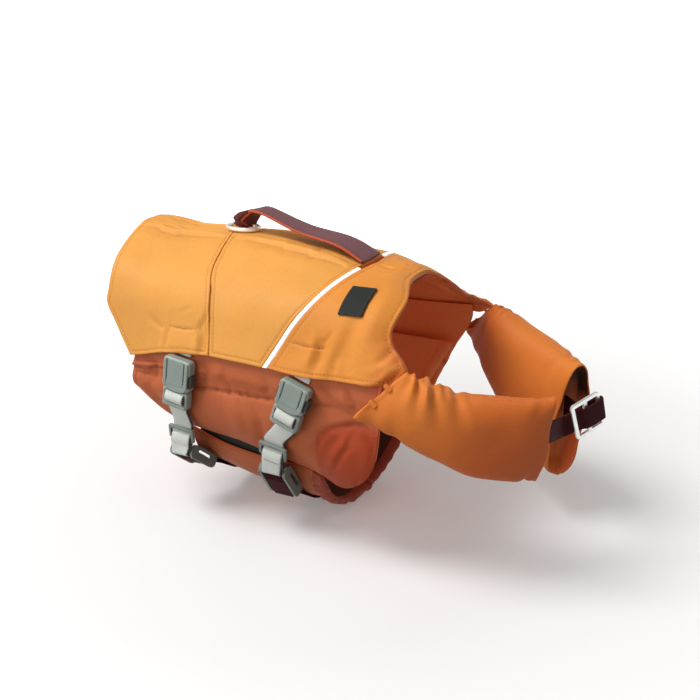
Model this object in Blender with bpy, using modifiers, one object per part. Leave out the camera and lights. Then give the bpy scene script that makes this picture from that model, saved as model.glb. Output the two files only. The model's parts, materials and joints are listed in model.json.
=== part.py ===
"""Dog life jacket, filled out as if worn, with no dog in it.

+X points to the dog's head, +Y to its left side and +Z up. The origin lies inside the back panel, on the
spine, where the wearer's back carries the jacket. Every cut piece is an object of its own: cloth panels are
open grids on a torso surface, made solid with Solidify, and straps, pillows and fittings are lofts and
bevelled primitives. Sizes are in millimetres until the mesh is made.
"""
import math

import bmesh
import bpy
from mathutils import Matrix, Vector

MM = 0.001
GAP = 0.3
SEAM = 0.5

# Driving sizes, in millimetres.
WEB_WIDTH = 20.0
WEB_THICK = 1.5
FOAM_THICK = 8.0
EDGE_THICK = 2.6
FLANK_FOAM = 7.0
BELLY_FOAM = 7.0
PIPING_WIDTH = 4.0
HEM_TUCK = 7.0
BUCKLE_WIDTH = 28.0
BUCKLE_THICK = 9.5
MALE_LENGTH = 17.0
RING_WIRE = 4.4
RING_BAR = 3.2
RING_CHEEK_OUT = 4.2
RING_CHEEK_IN = 8.5
RING_MIDDLE = 9.0
HAIRPIN_RADIUS = 3.3
MALE_BAR = 4.2
SLIDE_LENGTH = 14.0
SLIDE_BAR = 3.0

COLOURS = {
    "orange_light": ((0.80, 0.36, 0.08), 0.62, 0.0),
    "orange_deep": ((0.72, 0.26, 0.05), 0.62, 0.0),
    "rust": ((0.40, 0.10, 0.04), 0.66, 0.0),
    "binding_red": ((0.22, 0.04, 0.02), 0.7, 0.0),
    "pillow_orange": ((0.66, 0.20, 0.035), 0.6, 0.0),
    "maroon": ((0.075, 0.026, 0.036), 0.75, 0.0),
    "webbing_grey": ((0.50, 0.51, 0.48), 0.8, 0.0),
    "buckle_grey": ((0.17, 0.21, 0.19), 0.42, 0.0),
    "ring_grey": ((0.10, 0.12, 0.11), 0.42, 0.0),
    "metal": ((0.74, 0.75, 0.72), 0.3, 1.0),
    "reflective": ((0.82, 0.83, 0.84), 0.45, 0.0),
    "dark": ((0.02, 0.022, 0.02), 0.8, 0.0),
}

# Half section of the shell, spine to hem, at stations along the back. Each row is one station:
# x, then (y, z) of spine, ridge, shoulder, flare, side, low and hem.
SECTIONS = (
    # x, spine, ridge, shoulder, flare, side, low, hem
    (-152, (0, 10), (17, 10), (58, -4), (80, -18), (90, -36), (95, -58), (102, -92)),
    (-105, (0, 5.4), (16, 4.4), (58, -9), (80, -21), (91, -38), (96, -58), (103, -91)),
    (-50, (0, 8.5), (18, 8), (59, -10), (80, -23), (92, -39), (98, -57), (105, -77)),
    (0, (0, 8), (21, 7), (60, -10), (80, -23), (92, -38), (99, -57), (106, -75)),
    (50, (0, 4.5), (23, 3), (60, -10), (81, -23), (92, -38), (100, -57), (107, -75)),
    (95, (0, -3.8), (25, -4.3), (60, -10.5), (81, -22), (92, -37), (100, -56), (108, -74)),
    (150, (0, -4), (25, -4), (56, -10), (80, -20), (90, -32), (99, -47), (110, -71)),
)

# Where each edge or cross seam of the shell lies: (place from spine 0 to hem 6, x).
REAR_EDGE = ((0, -151), (1, -150), (2, -143), (3, -137), (4, -135), (4.65, -136), (5.3, -121), (6, -105))
REAR_SEAM = ((0, -52), (1, -48), (2, -40), (3, -29), (4, -23), (5, -19), (6, -16))
PIPING_SEAM = ((0, 91), (1, 88), (2, 80), (3, 71), (4, 61), (5, 51), (6, 41))
FRONT_EDGE = ((0, 134), (1, 135), (2, 147), (3, 148), (4, 147), (4.7, 153), (5.35, 167), (6, 151))
SHELL_PLACES = (0, 0.5, 1, 1.5, 2, 2.5, 3, 3.5, 4, 4.35, 4.7, 5, 5.35, 5.7, 6)

# The left shoulder has slumped: how far each place drops and spreads at the front edge.
LEFT_SLUMP_Z = (0, 2, 14, 23, 18, 8, 0)
LEFT_SLUMP_Y = (0, -4, -6, 0, 6, 4.5, 0)
SLUMP_START_X = 70.0
SLUMP_END_X = 150.0

# The right hem stands out over each buckle: middle x, half length and height.
HEM_TABS = ((-46.0, 19.0, 3.0), (79.0, 20.0, 3.4))

# Flank panel, tucked top to lower edge: how far each row lies inside the hem. Its rows are the tuck, just
# below the hem, upper row, channel, lower row, turn and edge.
FLANK_INSET = (6.6, 3.4, 1.2, 3.8, 0.2, 3.6, 13.0)
FLANK_PADDING = (0.0, 0.5, 1.0, 0.0, 1.0, 0.8, 0.0)
CHANNEL_Z = -103.0
FLANK_EDGE = ((-107, -128), (-86, -143), (-60, -152), (-30, -156), (27, -162), (76, -167), (112, -175),
              (150, -178))
FLANK_REAR = (-102, -104, -105, -105, -105, -106, -106)
FLANK_FRONT = {-1: (149, 149, 147, 147, 148, 139, 112), 1: (146, 145, 140, 133, 121, 110, 101)}
LOBE_X = 118.0
LOBE_BULGE = 5.0
LOBE_FOLD_X = 80.0
LOBE_FOLD = 3.0

# Belly panel, right free edge to the left seam.
BELLY_TOP_Z = -148.0
BELLY_LINE = ((-60, -214), (0, -226), (60, -232), (90, -233))
BELLY_SECTION = (
    # y, share of the drop to the belly line, x of the front edge
    (-87.0, 0.24, 86),
    (-80.5, 0.48, 84),
    (-63.0, 0.75, 82),
    (-36.0, 0.94, 83),
    (0.0, 1.00, 84),
    (36.0, 0.92, 86),
    (60.0, 0.68, 92),
    (79.0, 0.36, 100),
    (88.5, 0.03, 107),
    (93.6, -0.30, 120),
    (95.5, -0.52, 130),
)
SLIT = ((-60, 4), (-25, 8.5), (30, 8.5), (60, 5), (75, 6), (90, 13))
BELLY_REAR_X = -53.0
BELLY_WEB_START = 2.35
BINDING_WIDTH = 11.0
BINDING_GATHERS = 24
BINDING_RUFFLE = 1.3
FLAP_THICK = 1.5
FLAP_REAR_X = -47.0
FLAP_FRONT_X = 73.5

# Collar pillows, seam to sleeve mouth: middle point, up direction, height and thickness of each station.
PILLOW_RIGHT = (
    # x, y, z, lean forward, height, thickness, roll
    (154.0, -110.5, -76.0, 42.0, 51.0, 3.5, 0.0),
    (161.0, -106.0, -80.5, 30.0, 52.0, 18.0, 0.0),
    (172.0, -100.0, -88.0, 16.0, 55.0, 32.0, 0.0),
    (188.0, -92.0, -97.0, 6.0, 60.0, 43.0, 0.0),
    (208.0, -82.0, -107.5, 2.0, 65.0, 48.0, 0.0),
    (230.0, -71.0, -112.0, 1.0, 69.0, 47.0, 0.0),
    (250.0, -61.0, -114.0, 4.0, 70.0, 39.0, 0.0),
    (261.5, -55.0, -114.0, 7.0, 69.0, 28.0, 0.0),
    (267.0, -52.0, -113.0, 9.0, 67.0, 20.0, 0.0),
)
PILLOW_LEFT = (
    # x, y, z, lean forward, height, thickness, roll
    (154.0, 110.5, -80.0, 42.0, 52.0, 3.5, 0.0),
    (161.0, 106.0, -84.5, 30.0, 57.0, 16.0, 0.0),
    (172.0, 100.0, -93.0, 16.0, 66.0, 28.0, 2.0),
    (188.0, 91.0, -104.0, 8.0, 78.0, 37.0, 5.0),
    (208.0, 79.0, -113.5, 2.0, 86.0, 42.0, 7.0),
    (230.0, 66.5, -122.0, 0.0, 92.0, 43.0, 7.0),
    (246.0, 55.5, -129.5, 4.0, 98.0, 42.0, 6.0),
    (256.5, 48.0, -135.5, 6.0, 104.0, 38.0, 5.0),
    (262.0, 43.5, -139.0, 7.0, 105.0, 34.0, 4.0),
)
SLEEVE_WALL = 1.8
SLEEVE_DEPTH = 13.0
PILLOW_SIDES = 16
PILLOW_ROUND_TOP = 0.86
PILLOW_ROUND_BOTTOM = {-1: 0.8, 1: 0.55}
GATHER_DEPTH = 2.6
GATHER_COUNT = 6
# Each tab: how far up the seam it lies and how far out.
PILLOW_TABS = ((8.0, 3.6), (-10.0, 2.8))

# Handle, rear foot to front foot: middle line, strap width, how far the width turns from the Y axis, and
# thickness.
HANDLE = (
    # x, z, width, turn in degrees, thickness
    (-46.0, 11.7, 17.0, 52.0, 3.6),
    (-44.0, 17.3, 17.5, 46.0, 3.6),
    (-38.0, 24.2, 18.0, 34.0, 3.6),
    (-30.0, 29.2, 18.5, 18.0, 3.6),
    (-21.0, 30.0, 19.5, 6.0, 3.6),
    (-8.0, 26.4, 21.0, 0.0, 3.6),
    (8.0, 21.0, 23.0, 0.0, 3.6),
    (24.0, 16.6, 25.0, 0.0, 3.6),
    (40.0, 14.2, 27.0, 0.0, 3.6),
    (56.0, 11.8, 29.0, 0.0, 3.6),
    (69.0, 8.0, 31.0, 0.0, 3.6),
    (80.0, 2.8, 33.0, 0.0, 3.2),
    (88.0, -0.9, 34.0, 0.0, 2.2),
)
LEASH_RING_CENTRE = (-45.5, 0.0, 11.8)
LEASH_RING_LENGTH = 36.0
LEASH_RING_BREADTH = 27.0

NECK_TAPE_X = 130.5
NECK_TAPE_LENGTH = 42.0
NECK_TAPE_DROP = 5.0
NECK_TAPE_THICK = 1.5
NECK_TAPE_INSET = 5.7

LABEL_X = (99.3, 120.7)
LABEL_PLACES = (1.93, 3.3)
LABEL_THICK = 1.0

CHEST_SLIDE_CENTRE = (286.8, 1.6, -110.5)
CHEST_SLIDE_ALONG = (15.7, 25.0, 8.6)
CHEST_SLIDE_UP = (-4.3, -3.4, 29.0)
CHEST_SLIDE_LENGTH = 31.0
CHEST_SLIDE_SLACK = 3.3
CHEST_SLIDE_BAR = 3.2
CHEST_SLIDE_THICK = 2.6
# Where the middle bar lies along the slide, how far the webbing ends lie back in the sleeves, and their rise.
CHEST_MIDDLE_BAR = (-2.2, 1.2)
CHEST_WEB_SEAT = (9.9, 11.4)
CHEST_WEB_RISE = (6.0, 12.0)

# Each buckle set hangs on the right side: top of the female half, lower end of the male half, the slide,
# the bend of the grey webbing, the lower end of the ring, the middle of the belly webbing, and how much of the
# ring's front the belly webbing's tail covers.
BUCKLE_SETS = {
    "rear": {"top": (-43.5, -109.7, -80.7), "foot": (-49.5, -111.3, -126.5), "slide": (-50.0, -106.0, -156.0),
             "bend": (-52.0, -103.0, -176.0), "ring_end": (-46.5, -79.5, -197.0), "web_x": -41.0,
             "tail": 0.35},
    "front": {"top": (76.0, -111.5, -80.8), "foot": (63.0, -113.0, -120.5), "slide": (48.0, -108.0, -150.0),
              "bend": (44.0, -102.0, -173.0), "ring_end": (45.5, -84.0, -202.0), "web_x": 46.0, "tail": 1.0},
}


def clear_scene():
    for thing in list(bpy.data.objects):
        bpy.data.objects.remove(thing, do_unlink=True)


def make_collection(name):
    collection = bpy.data.collections.new(name)
    bpy.context.scene.collection.children.link(collection)
    return collection


def make_material(name, finish):
    """One material of a piece's own, with the colour, roughness and metallic value of a named finish."""
    colour, roughness, metallic = COLOURS[finish]
    material = bpy.data.materials.new(name)
    material.use_nodes = True
    shader = material.node_tree.nodes["Principled BSDF"]
    shader.inputs["Base Color"].default_value = (*colour, 1.0)
    shader.inputs["Roughness"].default_value = roughness
    shader.inputs["Metallic"].default_value = metallic
    return material


def smooth_step(value, low, high):
    share = min(1.0, max(0.0, (value - low) / (high - low)))
    return share * share * (3.0 - 2.0 * share)


def spline(values, place):
    """Catmull-Rom value at a fractional place in a list of equally spaced numbers."""
    last = len(values) - 1
    place = min(max(place, 0.0), float(last))
    index = min(int(place), last - 1)
    share = place - index
    before = values[max(index - 1, 0)]
    start = values[index]
    end = values[index + 1]
    after = values[min(index + 2, last)]
    return 0.5 * (2.0 * start + (end - before) * share
                  + (2.0 * before - 5.0 * start + 4.0 * end - after) * share ** 2
                  + (3.0 * start - before - 3.0 * end + after) * share ** 3)


def between(rows, x):
    """Value at x on a smooth curve through (x, value) rows."""
    stations = [row[0] for row in rows]
    x = min(max(x, stations[0]), stations[-1])
    index = max(i for i in range(len(rows) - 1) if stations[i] <= x)
    share = (x - stations[index]) / (stations[index + 1] - stations[index])
    return spline([row[1] for row in rows], index + share)


def station_place(x):
    stations = [row[0] for row in SECTIONS]
    x = min(max(x, stations[0]), stations[-1])
    index = max(i for i in range(len(SECTIONS) - 1) if stations[i] <= x)
    return index + (x - stations[index]) / (stations[index + 1] - stations[index])


def hem_tab_height(x, place):
    height = 0.0
    for middle, half, rise in HEM_TABS:
        height += rise * smooth_step(half + 5.0 - abs(x - middle), 0.0, 7.0)
    return height * smooth_step(place, 4.8, 5.8)


def shell_point(x, side, place):
    """Outer surface of the shell: side is -1 right or 1 left, place runs 0 at the spine to 6 at the hem."""
    station = station_place(x)
    y = spline([spline([row[1 + i][0] for row in SECTIONS], station) for i in range(7)], place)
    z = spline([spline([row[1 + i][1] for row in SECTIONS], station) for i in range(7)], place)
    if side > 0:
        slump = smooth_step(x, SLUMP_START_X, SLUMP_END_X)
        y += slump * spline(LEFT_SLUMP_Y, place)
        z -= slump * spline(LEFT_SLUMP_Z, place)
    else:
        y += hem_tab_height(x, place)
    return Vector((x, side * y, z))


def shell_normal(x, side, place):
    """Unit normal of the shell, pointing out."""
    step = 0.05
    low = max(place - step, 0.0)
    high = min(place + step, 6.0)
    around = shell_point(x, side, high) - shell_point(x, side, low)
    along = shell_point(x + 1.0, side, place) - shell_point(x - 1.0, side, place)
    if place < step:
        around = Vector((0.0, side, 0.0))
    return (along.cross(around) * side).normalized()


def hem_at(x):
    station = station_place(x)
    return [spline([row[7][part] for row in SECTIONS], station) for part in range(2)]


def flank_point(x, side, row):
    """Outer surface of a flank: row runs 0 at the tucked top to 6 at the lower edge."""
    hem_y, hem_z = hem_at(x)
    edge_z = between(FLANK_EDGE, x)
    heights = (hem_z + HEM_TUCK, hem_z - 6.0, (hem_z - 6.0 + CHANNEL_Z) / 2, CHANNEL_Z,
               CHANNEL_Z + 0.32 * (edge_z - CHANNEL_Z), CHANNEL_Z + 0.70 * (edge_z - CHANNEL_Z), edge_z)
    z = spline(heights, row)
    y = hem_y - spline(FLANK_INSET, row)
    if side < 0:
        low = smooth_step(row, 3.2, 4.4)
        y += low * LOBE_BULGE * math.exp(-((x - LOBE_X) / 24.0) ** 2)
        y -= low * LOBE_FOLD * math.exp(-((x - LOBE_FOLD_X) / 10.0) ** 2)
    return Vector((x, side * y, z))


def free_edge_z(x):
    return between(FLANK_EDGE, x) - between(SLIT, x)


def belly_point(x, row):
    """Outer surface of the belly panel: row runs 0 at the right free edge to 10 at the left seam."""
    drop = BELLY_TOP_Z - between(BELLY_LINE, x)
    heights = [BELLY_TOP_Z - part[1] * drop for part in BELLY_SECTION]
    heights[0] = free_edge_z(x)
    return Vector((x, spline([part[0] for part in BELLY_SECTION], row), spline(heights, row)))


def belly_front_x(row):
    return spline([part[2] for part in BELLY_SECTION], row)


def belly_normal(x, row):
    """Unit normal of the belly panel, pointing out."""
    low = max(row - 0.1, 0.0)
    high = min(row + 0.1, len(BELLY_SECTION) - 1.0)
    around = belly_point(x, high) - belly_point(x, low)
    return Vector((1.0, 0.0, 0.0)).cross(around).normalized() * -1.0


def make_mesh_object(name, points, faces, finish, collection):
    mesh = bpy.data.meshes.new(name)
    mesh.from_pydata([tuple(Vector(p) * MM) for p in points], [], faces)
    mesh.update()
    thing = bpy.data.objects.new(name, mesh)
    thing.data.materials.append(make_material(name, finish))
    collection.objects.link(thing)
    return thing


def grid_panel(name, rows, paddings, foam, thin, finish, collection, outward=False):
    """An open grid of points made solid: paddings run from 0 at a sewn edge to 1 for full foam."""
    count = len(rows[0])
    points = [point for row in rows for point in row]
    faces = []
    for r in range(len(rows) - 1):
        for c in range(count - 1):
            a = r * count + c
            faces.append((a, a + count, a + count + 1, a + 1))
    thing = make_mesh_object(name, points, faces, finish, collection)
    middle = Vector((0.0, 0.0, -0.110))
    facing = 0.0
    for polygon in thing.data.polygons:
        arm = polygon.center - middle
        arm.x = 0.0
        facing += polygon.normal.dot(arm) * polygon.area
    if facing < 0.0:
        thing.data.flip_normals()
    group = thing.vertex_groups.new(name="padding")
    for index, weight in enumerate(weight for row in paddings for weight in row):
        group.add([index], weight, "REPLACE")
    solidify = thing.modifiers.new("wall", "SOLIDIFY")
    solidify.thickness = foam * MM
    solidify.offset = 1.0 if outward else -1.0
    solidify.vertex_group = group.name
    solidify.thickness_vertex_group = thin / foam
    thing.data.shade_smooth()
    return thing


def loft(name, rings, finish, collection, closed=False, sharp=50.0):
    """A closed solid through rings of equal point counts, capped at both ends unless the rings close."""
    count = len(rings[0])
    points = [point for ring in rings for point in ring]
    faces = []
    spans = len(rings) if closed else len(rings) - 1
    for r in range(spans):
        start = r * count
        following = ((r + 1) % len(rings)) * count
        for c in range(count):
            nxt = (c + 1) % count
            faces.append((start + c, start + nxt, following + nxt, following + c))
    if not closed:
        faces.append(tuple(reversed(range(count))))
        faces.append(tuple(range((len(rings) - 1) * count, len(rings) * count)))
    thing = make_mesh_object(name, points, faces, finish, collection)
    shape = bmesh.new()
    shape.from_mesh(thing.data)
    bmesh.ops.triangulate(shape, faces=[face for face in shape.faces if len(face.verts) > 4])
    bmesh.ops.recalc_face_normals(shape, faces=shape.faces)
    shape.to_mesh(thing.data)
    shape.free()
    thing.data.shade_smooth()
    thing.data.set_sharp_from_angle(angle=math.radians(sharp))
    return thing


def edge_padding(value, low, high, width):
    """0 at either edge, 1 at least a width inside."""
    return smooth_step(min(value - low, high - value), 0.0, width)


def smooth_path(points, steps):
    """Points on a smooth curve through the given ones, with a number of steps between each two."""
    path = []
    for index in range((len(points) - 1) * steps + 1):
        place = index / steps
        path.append(Vector([spline([point[axis] for point in points], place) for axis in range(3)]))
    return path


def strap(name, path, width_dirs, widths, thick, finish, collection):
    """Flat webbing along a path; width_dirs and widths hold one value for each point."""
    rings = []
    for index, centre in enumerate(path):
        ahead = path[min(index + 1, len(path) - 1)] - path[max(index - 1, 0)]
        across = width_dirs[index].normalized()
        face = ahead.cross(across).normalized()
        half = across * widths[index] / 2
        lift = face * thick / 2
        rings.append([centre + half + lift, centre - half + lift, centre - half - lift, centre + half - lift])
    return loft(name, rings, finish, collection)


def section_walls(share, length, place):
    """Padding of a shell section: thin at its cross seams and its hem."""
    along = edge_padding(share, 0.0, 1.0, 14.0 / length)
    around = smooth_step(6.0 - place, 0.5, 1.7)
    return min(along, around)


def shell_section(name, rear_rows, front_rows, columns, finish, collection, rear_gap, front_gap):
    """One section of the shell, right hem over the spine to left hem."""
    ribs = [(-1, place) for place in reversed(SHELL_PLACES)] + [(1, place) for place in SHELL_PLACES[1:]]
    rows = []
    paddings = []
    for column in range(columns + 1):
        share = column / columns
        row = []
        padding = []
        for side, place in ribs:
            rear = between(rear_rows, place) + rear_gap
            front = between(front_rows, place) - front_gap
            row.append(shell_point(rear + (front - rear) * share, side, place))
            padding.append(section_walls(share, front - rear, place))
        rows.append(row)
        paddings.append(padding)
    return grid_panel(name, rows, paddings, FOAM_THICK, EDGE_THICK, finish, collection)


def build_shell(collection):
    half = PIPING_WIDTH / 2 + SEAM
    shell_section("shell_rear", REAR_EDGE, REAR_SEAM, 8, "orange_light", collection,
                  0.0, SEAM / 2)
    shell_section("shell_middle", REAR_SEAM, PIPING_SEAM, 10, "orange_light", collection,
                  SEAM / 2, half)
    shell_section("shell_front", PIPING_SEAM, FRONT_EDGE, 7, "orange_deep", collection,
                  half, 0.0)


def build_piping(collection):
    """A flat reflective strip in the shoulder seam of each side, from the handle's foot to the hem."""
    for name, side in (("piping_right", -1), ("piping_left", 1)):
        rings = []
        for place in SHELL_PLACES[2:]:
            ring = []
            for along, lift in ((-1, -1.9), (-1, 0.1), (0, 0.7), (1, 0.1), (1, -1.9)):
                x = between(PIPING_SEAM, place) + along * PIPING_WIDTH / 2
                ring.append(shell_point(x, side, place) + shell_normal(x, side, place) * lift)
            rings.append(ring)
        loft(name, rings, "reflective", collection)


def build_flanks(collection):
    """The rust panels that hang inside each hem, with a sewn channel between two foam rows."""
    columns = 16
    for name, side in (("flank_right", -1), ("flank_left", 1)):
        rows = []
        paddings = []
        for column in range(columns + 1):
            share = column / columns
            row = []
            padding = []
            for half_step in range(13):
                place = half_step / 2
                rear = spline(FLANK_REAR, place)
                front = spline(FLANK_FRONT[side], place)
                row.append(flank_point(rear + (front - rear) * share, side, place))
                foam = min(1.0, max(0.0, spline(FLANK_PADDING, place)))
                padding.append(foam * edge_padding(share, 0.0, 1.0, 0.08))
            rows.append(row)
            paddings.append(padding)
        grid_panel(name, rows, paddings, FLANK_FOAM, EDGE_THICK, "rust", collection)


def build_belly(collection):
    """The belly panel, sewn to the left flank, with its right edge free."""
    columns = 10
    last = len(BELLY_SECTION) - 1
    rows = []
    paddings = []
    for column in range(columns + 1):
        share = column / columns
        row = []
        padding = []
        for step in range(2 * last + 1):
            place = step / 2
            front = belly_front_x(place) - BINDING_WIDTH - SEAM
            row.append(belly_point(BELLY_REAR_X + (front - BELLY_REAR_X) * share, place))
            foam = edge_padding(place, 0.0, last - 2.0, 1.2)
            padding.append(foam * edge_padding(share, 0.0, 1.0, 0.1))
        rows.append(row)
        paddings.append(padding)
    grid_panel("belly_panel", rows, paddings, BELLY_FOAM, EDGE_THICK, "rust", collection)

    rings = []
    steps = BINDING_GATHERS * 3
    for step in range(steps + 1):
        place = last * step / steps
        ruffle = BINDING_RUFFLE * math.cos(2 * math.pi * BINDING_GATHERS * step / steps)
        front = belly_front_x(place)
        ring = []
        for along, lift in ((0.0, 0.0), (0.12, 0.7), (0.5, 1.2), (0.88, 0.5), (1.0, -1.6),
                            (0.85, -3.6), (0.5, -4.4), (0.1, -2.6)):
            x = front - BINDING_WIDTH + along * BINDING_WIDTH
            wave = ruffle * (along - 0.1) if 0.1 < along else 0.0
            ring.append(belly_point(x, place) + belly_normal(x, place) * (lift + 0.5 * wave)
                        + Vector((0.6 * wave, 0.0, 0.0)))
        rings.append(ring)
    loft("belly_binding", rings, "binding_red", collection)


def build_flap(collection):
    """The dark flap behind the gap between belly panel and right flank."""
    rows = []
    for column in range(13):
        x = FLAP_REAR_X + column * (FLAP_FRONT_X - FLAP_REAR_X) / 12
        edge = between(FLANK_EDGE, x)
        low = free_edge_z(x)
        rows.append([Vector((x, -84.8, edge + 8.0)), Vector((x, -83.8, (edge + low) / 2 + 2.0)),
                     Vector((x, -82.0, low - 1.0)), Vector((x, -80.2, low - 5.5))])
    paddings = [[0.0] * 4 for _ in rows]
    grid_panel("closure_flap", rows, paddings, FLAP_THICK, FLAP_THICK, "dark", collection)


def pillow_station(table, place, side):
    """Middle, forward, up and out directions, height and thickness of a pillow at a fractional place."""
    values = [spline([row[column] for row in table], place) for column in range(7)]
    centre = Vector(values[:3])
    ahead = Vector([spline([row[c] for row in table], place + 0.25)
                    - spline([row[c] for row in table], place - 0.25) for c in range(2)] + [0.0]).normalized()
    out = Vector((ahead.y, -ahead.x, 0.0)) * -side
    lean = math.radians(values[3])
    up = ahead * math.sin(lean) + Vector((0.0, 0.0, math.cos(lean)))
    roll = math.radians(values[6])
    up, out = (up * math.cos(roll) + out * math.sin(roll), out * math.cos(roll) - up * math.sin(roll))
    return centre, ahead, up, out, values[4], values[5]


def pillow_ring(centre, up, out, height, thickness, side):
    """Rounded section of a pillow: the smaller its power, the squarer it is."""
    ring = []
    for index in range(PILLOW_SIDES):
        angle = 2 * math.pi * index / PILLOW_SIDES
        power = PILLOW_ROUND_TOP if math.sin(angle) > 0.0 else PILLOW_ROUND_BOTTOM[side]
        wide = math.copysign(abs(math.cos(angle)) ** power, math.cos(angle))
        tall = math.copysign(abs(math.sin(angle)) ** power, math.sin(angle))
        ring.append(centre + out * wide * thickness / 2 + up * tall * height / 2)
    return ring


def build_pillow(name, table, side, finish, collection):
    """A padded tube: flat seam at the shell, gathers behind it, and an open sleeve end in front."""
    last = len(table) - 1
    gather_start = 0.6
    gather_end = 4.6
    per_gather = 4
    places = [0.0, 0.3]
    places += [gather_start + (gather_end - gather_start) * i / (GATHER_COUNT * per_gather)
               for i in range(GATHER_COUNT * per_gather + 1)]
    places += [gather_end + (last - gather_end) * i / 9 for i in range(1, 10)]
    rings = []
    for place in places:
        centre, ahead, up, out, height, thickness = pillow_station(table, place, side)
        ring = pillow_ring(centre, up, out, height, thickness, side)
        share = (place - gather_start) / (gather_end - gather_start)
        if 0.0 < share < 1.0:
            wave = 0.5 - 0.5 * math.cos(2 * math.pi * GATHER_COUNT * share)
            depth = GATHER_DEPTH * wave * smooth_step(min(share, 1.0 - share), 0.0, 0.25)
            for index in range(1, PILLOW_SIDES // 2):
                crest = math.sin(2 * math.pi * index / PILLOW_SIDES) ** 3
                ring[index] = ring[index] - up * depth * crest
        rings.append(ring)
    centre, ahead, up, out, height, thickness = pillow_station(table, last, side)
    for back, inset in ((0.0, SLEEVE_WALL), (SLEEVE_DEPTH * 0.5, SLEEVE_WALL + 0.6), (SLEEVE_DEPTH, 3.4)):
        rings.append(pillow_ring(centre - ahead * back, up, out, height - 2 * inset - back * 0.3,
                                 thickness - 2 * inset, side))
    loft(name, rings, finish, collection)


def build_pillows(collection):
    build_pillow("collar_pillow_right", PILLOW_RIGHT, -1, "pillow_orange", collection)
    build_pillow("collar_pillow_left", PILLOW_LEFT, 1, "pillow_orange", collection)


def build_handle(collection):
    """The padded lifting strap, from inside the leash ring to the collar seam."""
    steps = 3
    last = len(HANDLE) - 1
    rings = []
    for index in range(last * steps + 1):
        place = index / steps
        x, z, width, turn, thick = [spline([row[column] for row in HANDLE], place) for column in range(5)]
        ahead = Vector((spline([row[0] for row in HANDLE], place + 0.3)
                        - spline([row[0] for row in HANDLE], place - 0.3), 0.0,
                        spline([row[1] for row in HANDLE], place + 0.3)
                        - spline([row[1] for row in HANDLE], place - 0.3))).normalized()
        angle = math.radians(turn)
        across = Vector((math.sin(angle), math.cos(angle), 0.0))
        across = (across - ahead * across.dot(ahead)).normalized()
        face = ahead.cross(across)
        half = width / 2
        ring = []
        for side, lift in ((1, 0.45), (0.86, 1), (-0.86, 1), (-1, 0.45), (-1, -0.45), (-0.86, -1),
                           (0.86, -1), (1, -0.45)):
            ring.append(Vector((x, 0.0, z)) + across * half * side + face * lift * thick / 2)
        rings.append(ring)
    loft("handle", rings, "maroon", collection)


def build_leash_ring(collection):
    """An oval ring with a flat top facet, lying round the handle's rear foot."""
    steps = 28
    rings = []
    for step in range(steps):
        angle = 2 * math.pi * step / steps
        ring = []
        for side in range(8):
            turn = 2 * math.pi * (side + 0.5) / 8
            reach = RING_WIRE / 2 * math.cos(turn)
            ring.append(Vector(LEASH_RING_CENTRE)
                        + Vector(((LEASH_RING_LENGTH / 2 - RING_WIRE / 2 + reach) * math.cos(angle),
                                  (LEASH_RING_BREADTH / 2 - RING_WIRE / 2 + reach) * math.sin(angle),
                                  RING_WIRE / 2 * math.sin(turn))))
        rings.append(ring)
    loft("leash_ring", rings, "metal", collection, closed=True, sharp=60.0)


def build_neck_tape(collection):
    """A dark tape that hangs inside the collar's front edge."""
    rings = []
    for step in range(9):
        y = -NECK_TAPE_LENGTH / 2 + NECK_TAPE_LENGTH * step / 8
        side = -1 if y < 0 else 1
        place = abs(y) / 25.0
        top = shell_point(NECK_TAPE_X, side, place).z - NECK_TAPE_INSET
        corners = ((0.0, 0.0), (NECK_TAPE_THICK, 0.0), (NECK_TAPE_THICK, -NECK_TAPE_DROP),
                   (0.0, -NECK_TAPE_DROP))
        rings.append([Vector((NECK_TAPE_X + dx, y, top + dz)) for dx, dz in corners])
    loft("neck_tape", rings, "maroon", collection)


def build_label(collection):
    """A small bare patch sewn on the right shoulder."""
    rows = []
    for column in range(4):
        x = LABEL_X[0] + (LABEL_X[1] - LABEL_X[0]) * column / 3
        row = []
        for step in range(5):
            place = LABEL_PLACES[0] + (LABEL_PLACES[1] - LABEL_PLACES[0]) * step / 4
            row.append(shell_point(x, -1, place) + shell_normal(x, -1, place) * 0.6)
        rows.append(row)
    paddings = [[0.0] * 5 for _ in rows]
    grid_panel("label_patch", rows, paddings, LABEL_THICK, LABEL_THICK, "dark", collection,
               outward=True)


def fitting_frame(origin, end):
    """Matrix with X across the webbing to the rear, Y down it and Z out of the body."""
    origin = Vector(origin)
    down = (Vector(end) - origin).normalized()
    across = Vector((-1.0, 0.0, 0.0))
    across = (across - down * across.dot(down)).normalized()
    out = across.cross(down)
    frame = Matrix((across, down, out)).transposed().to_4x4()
    frame.translation = origin
    return frame


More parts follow.
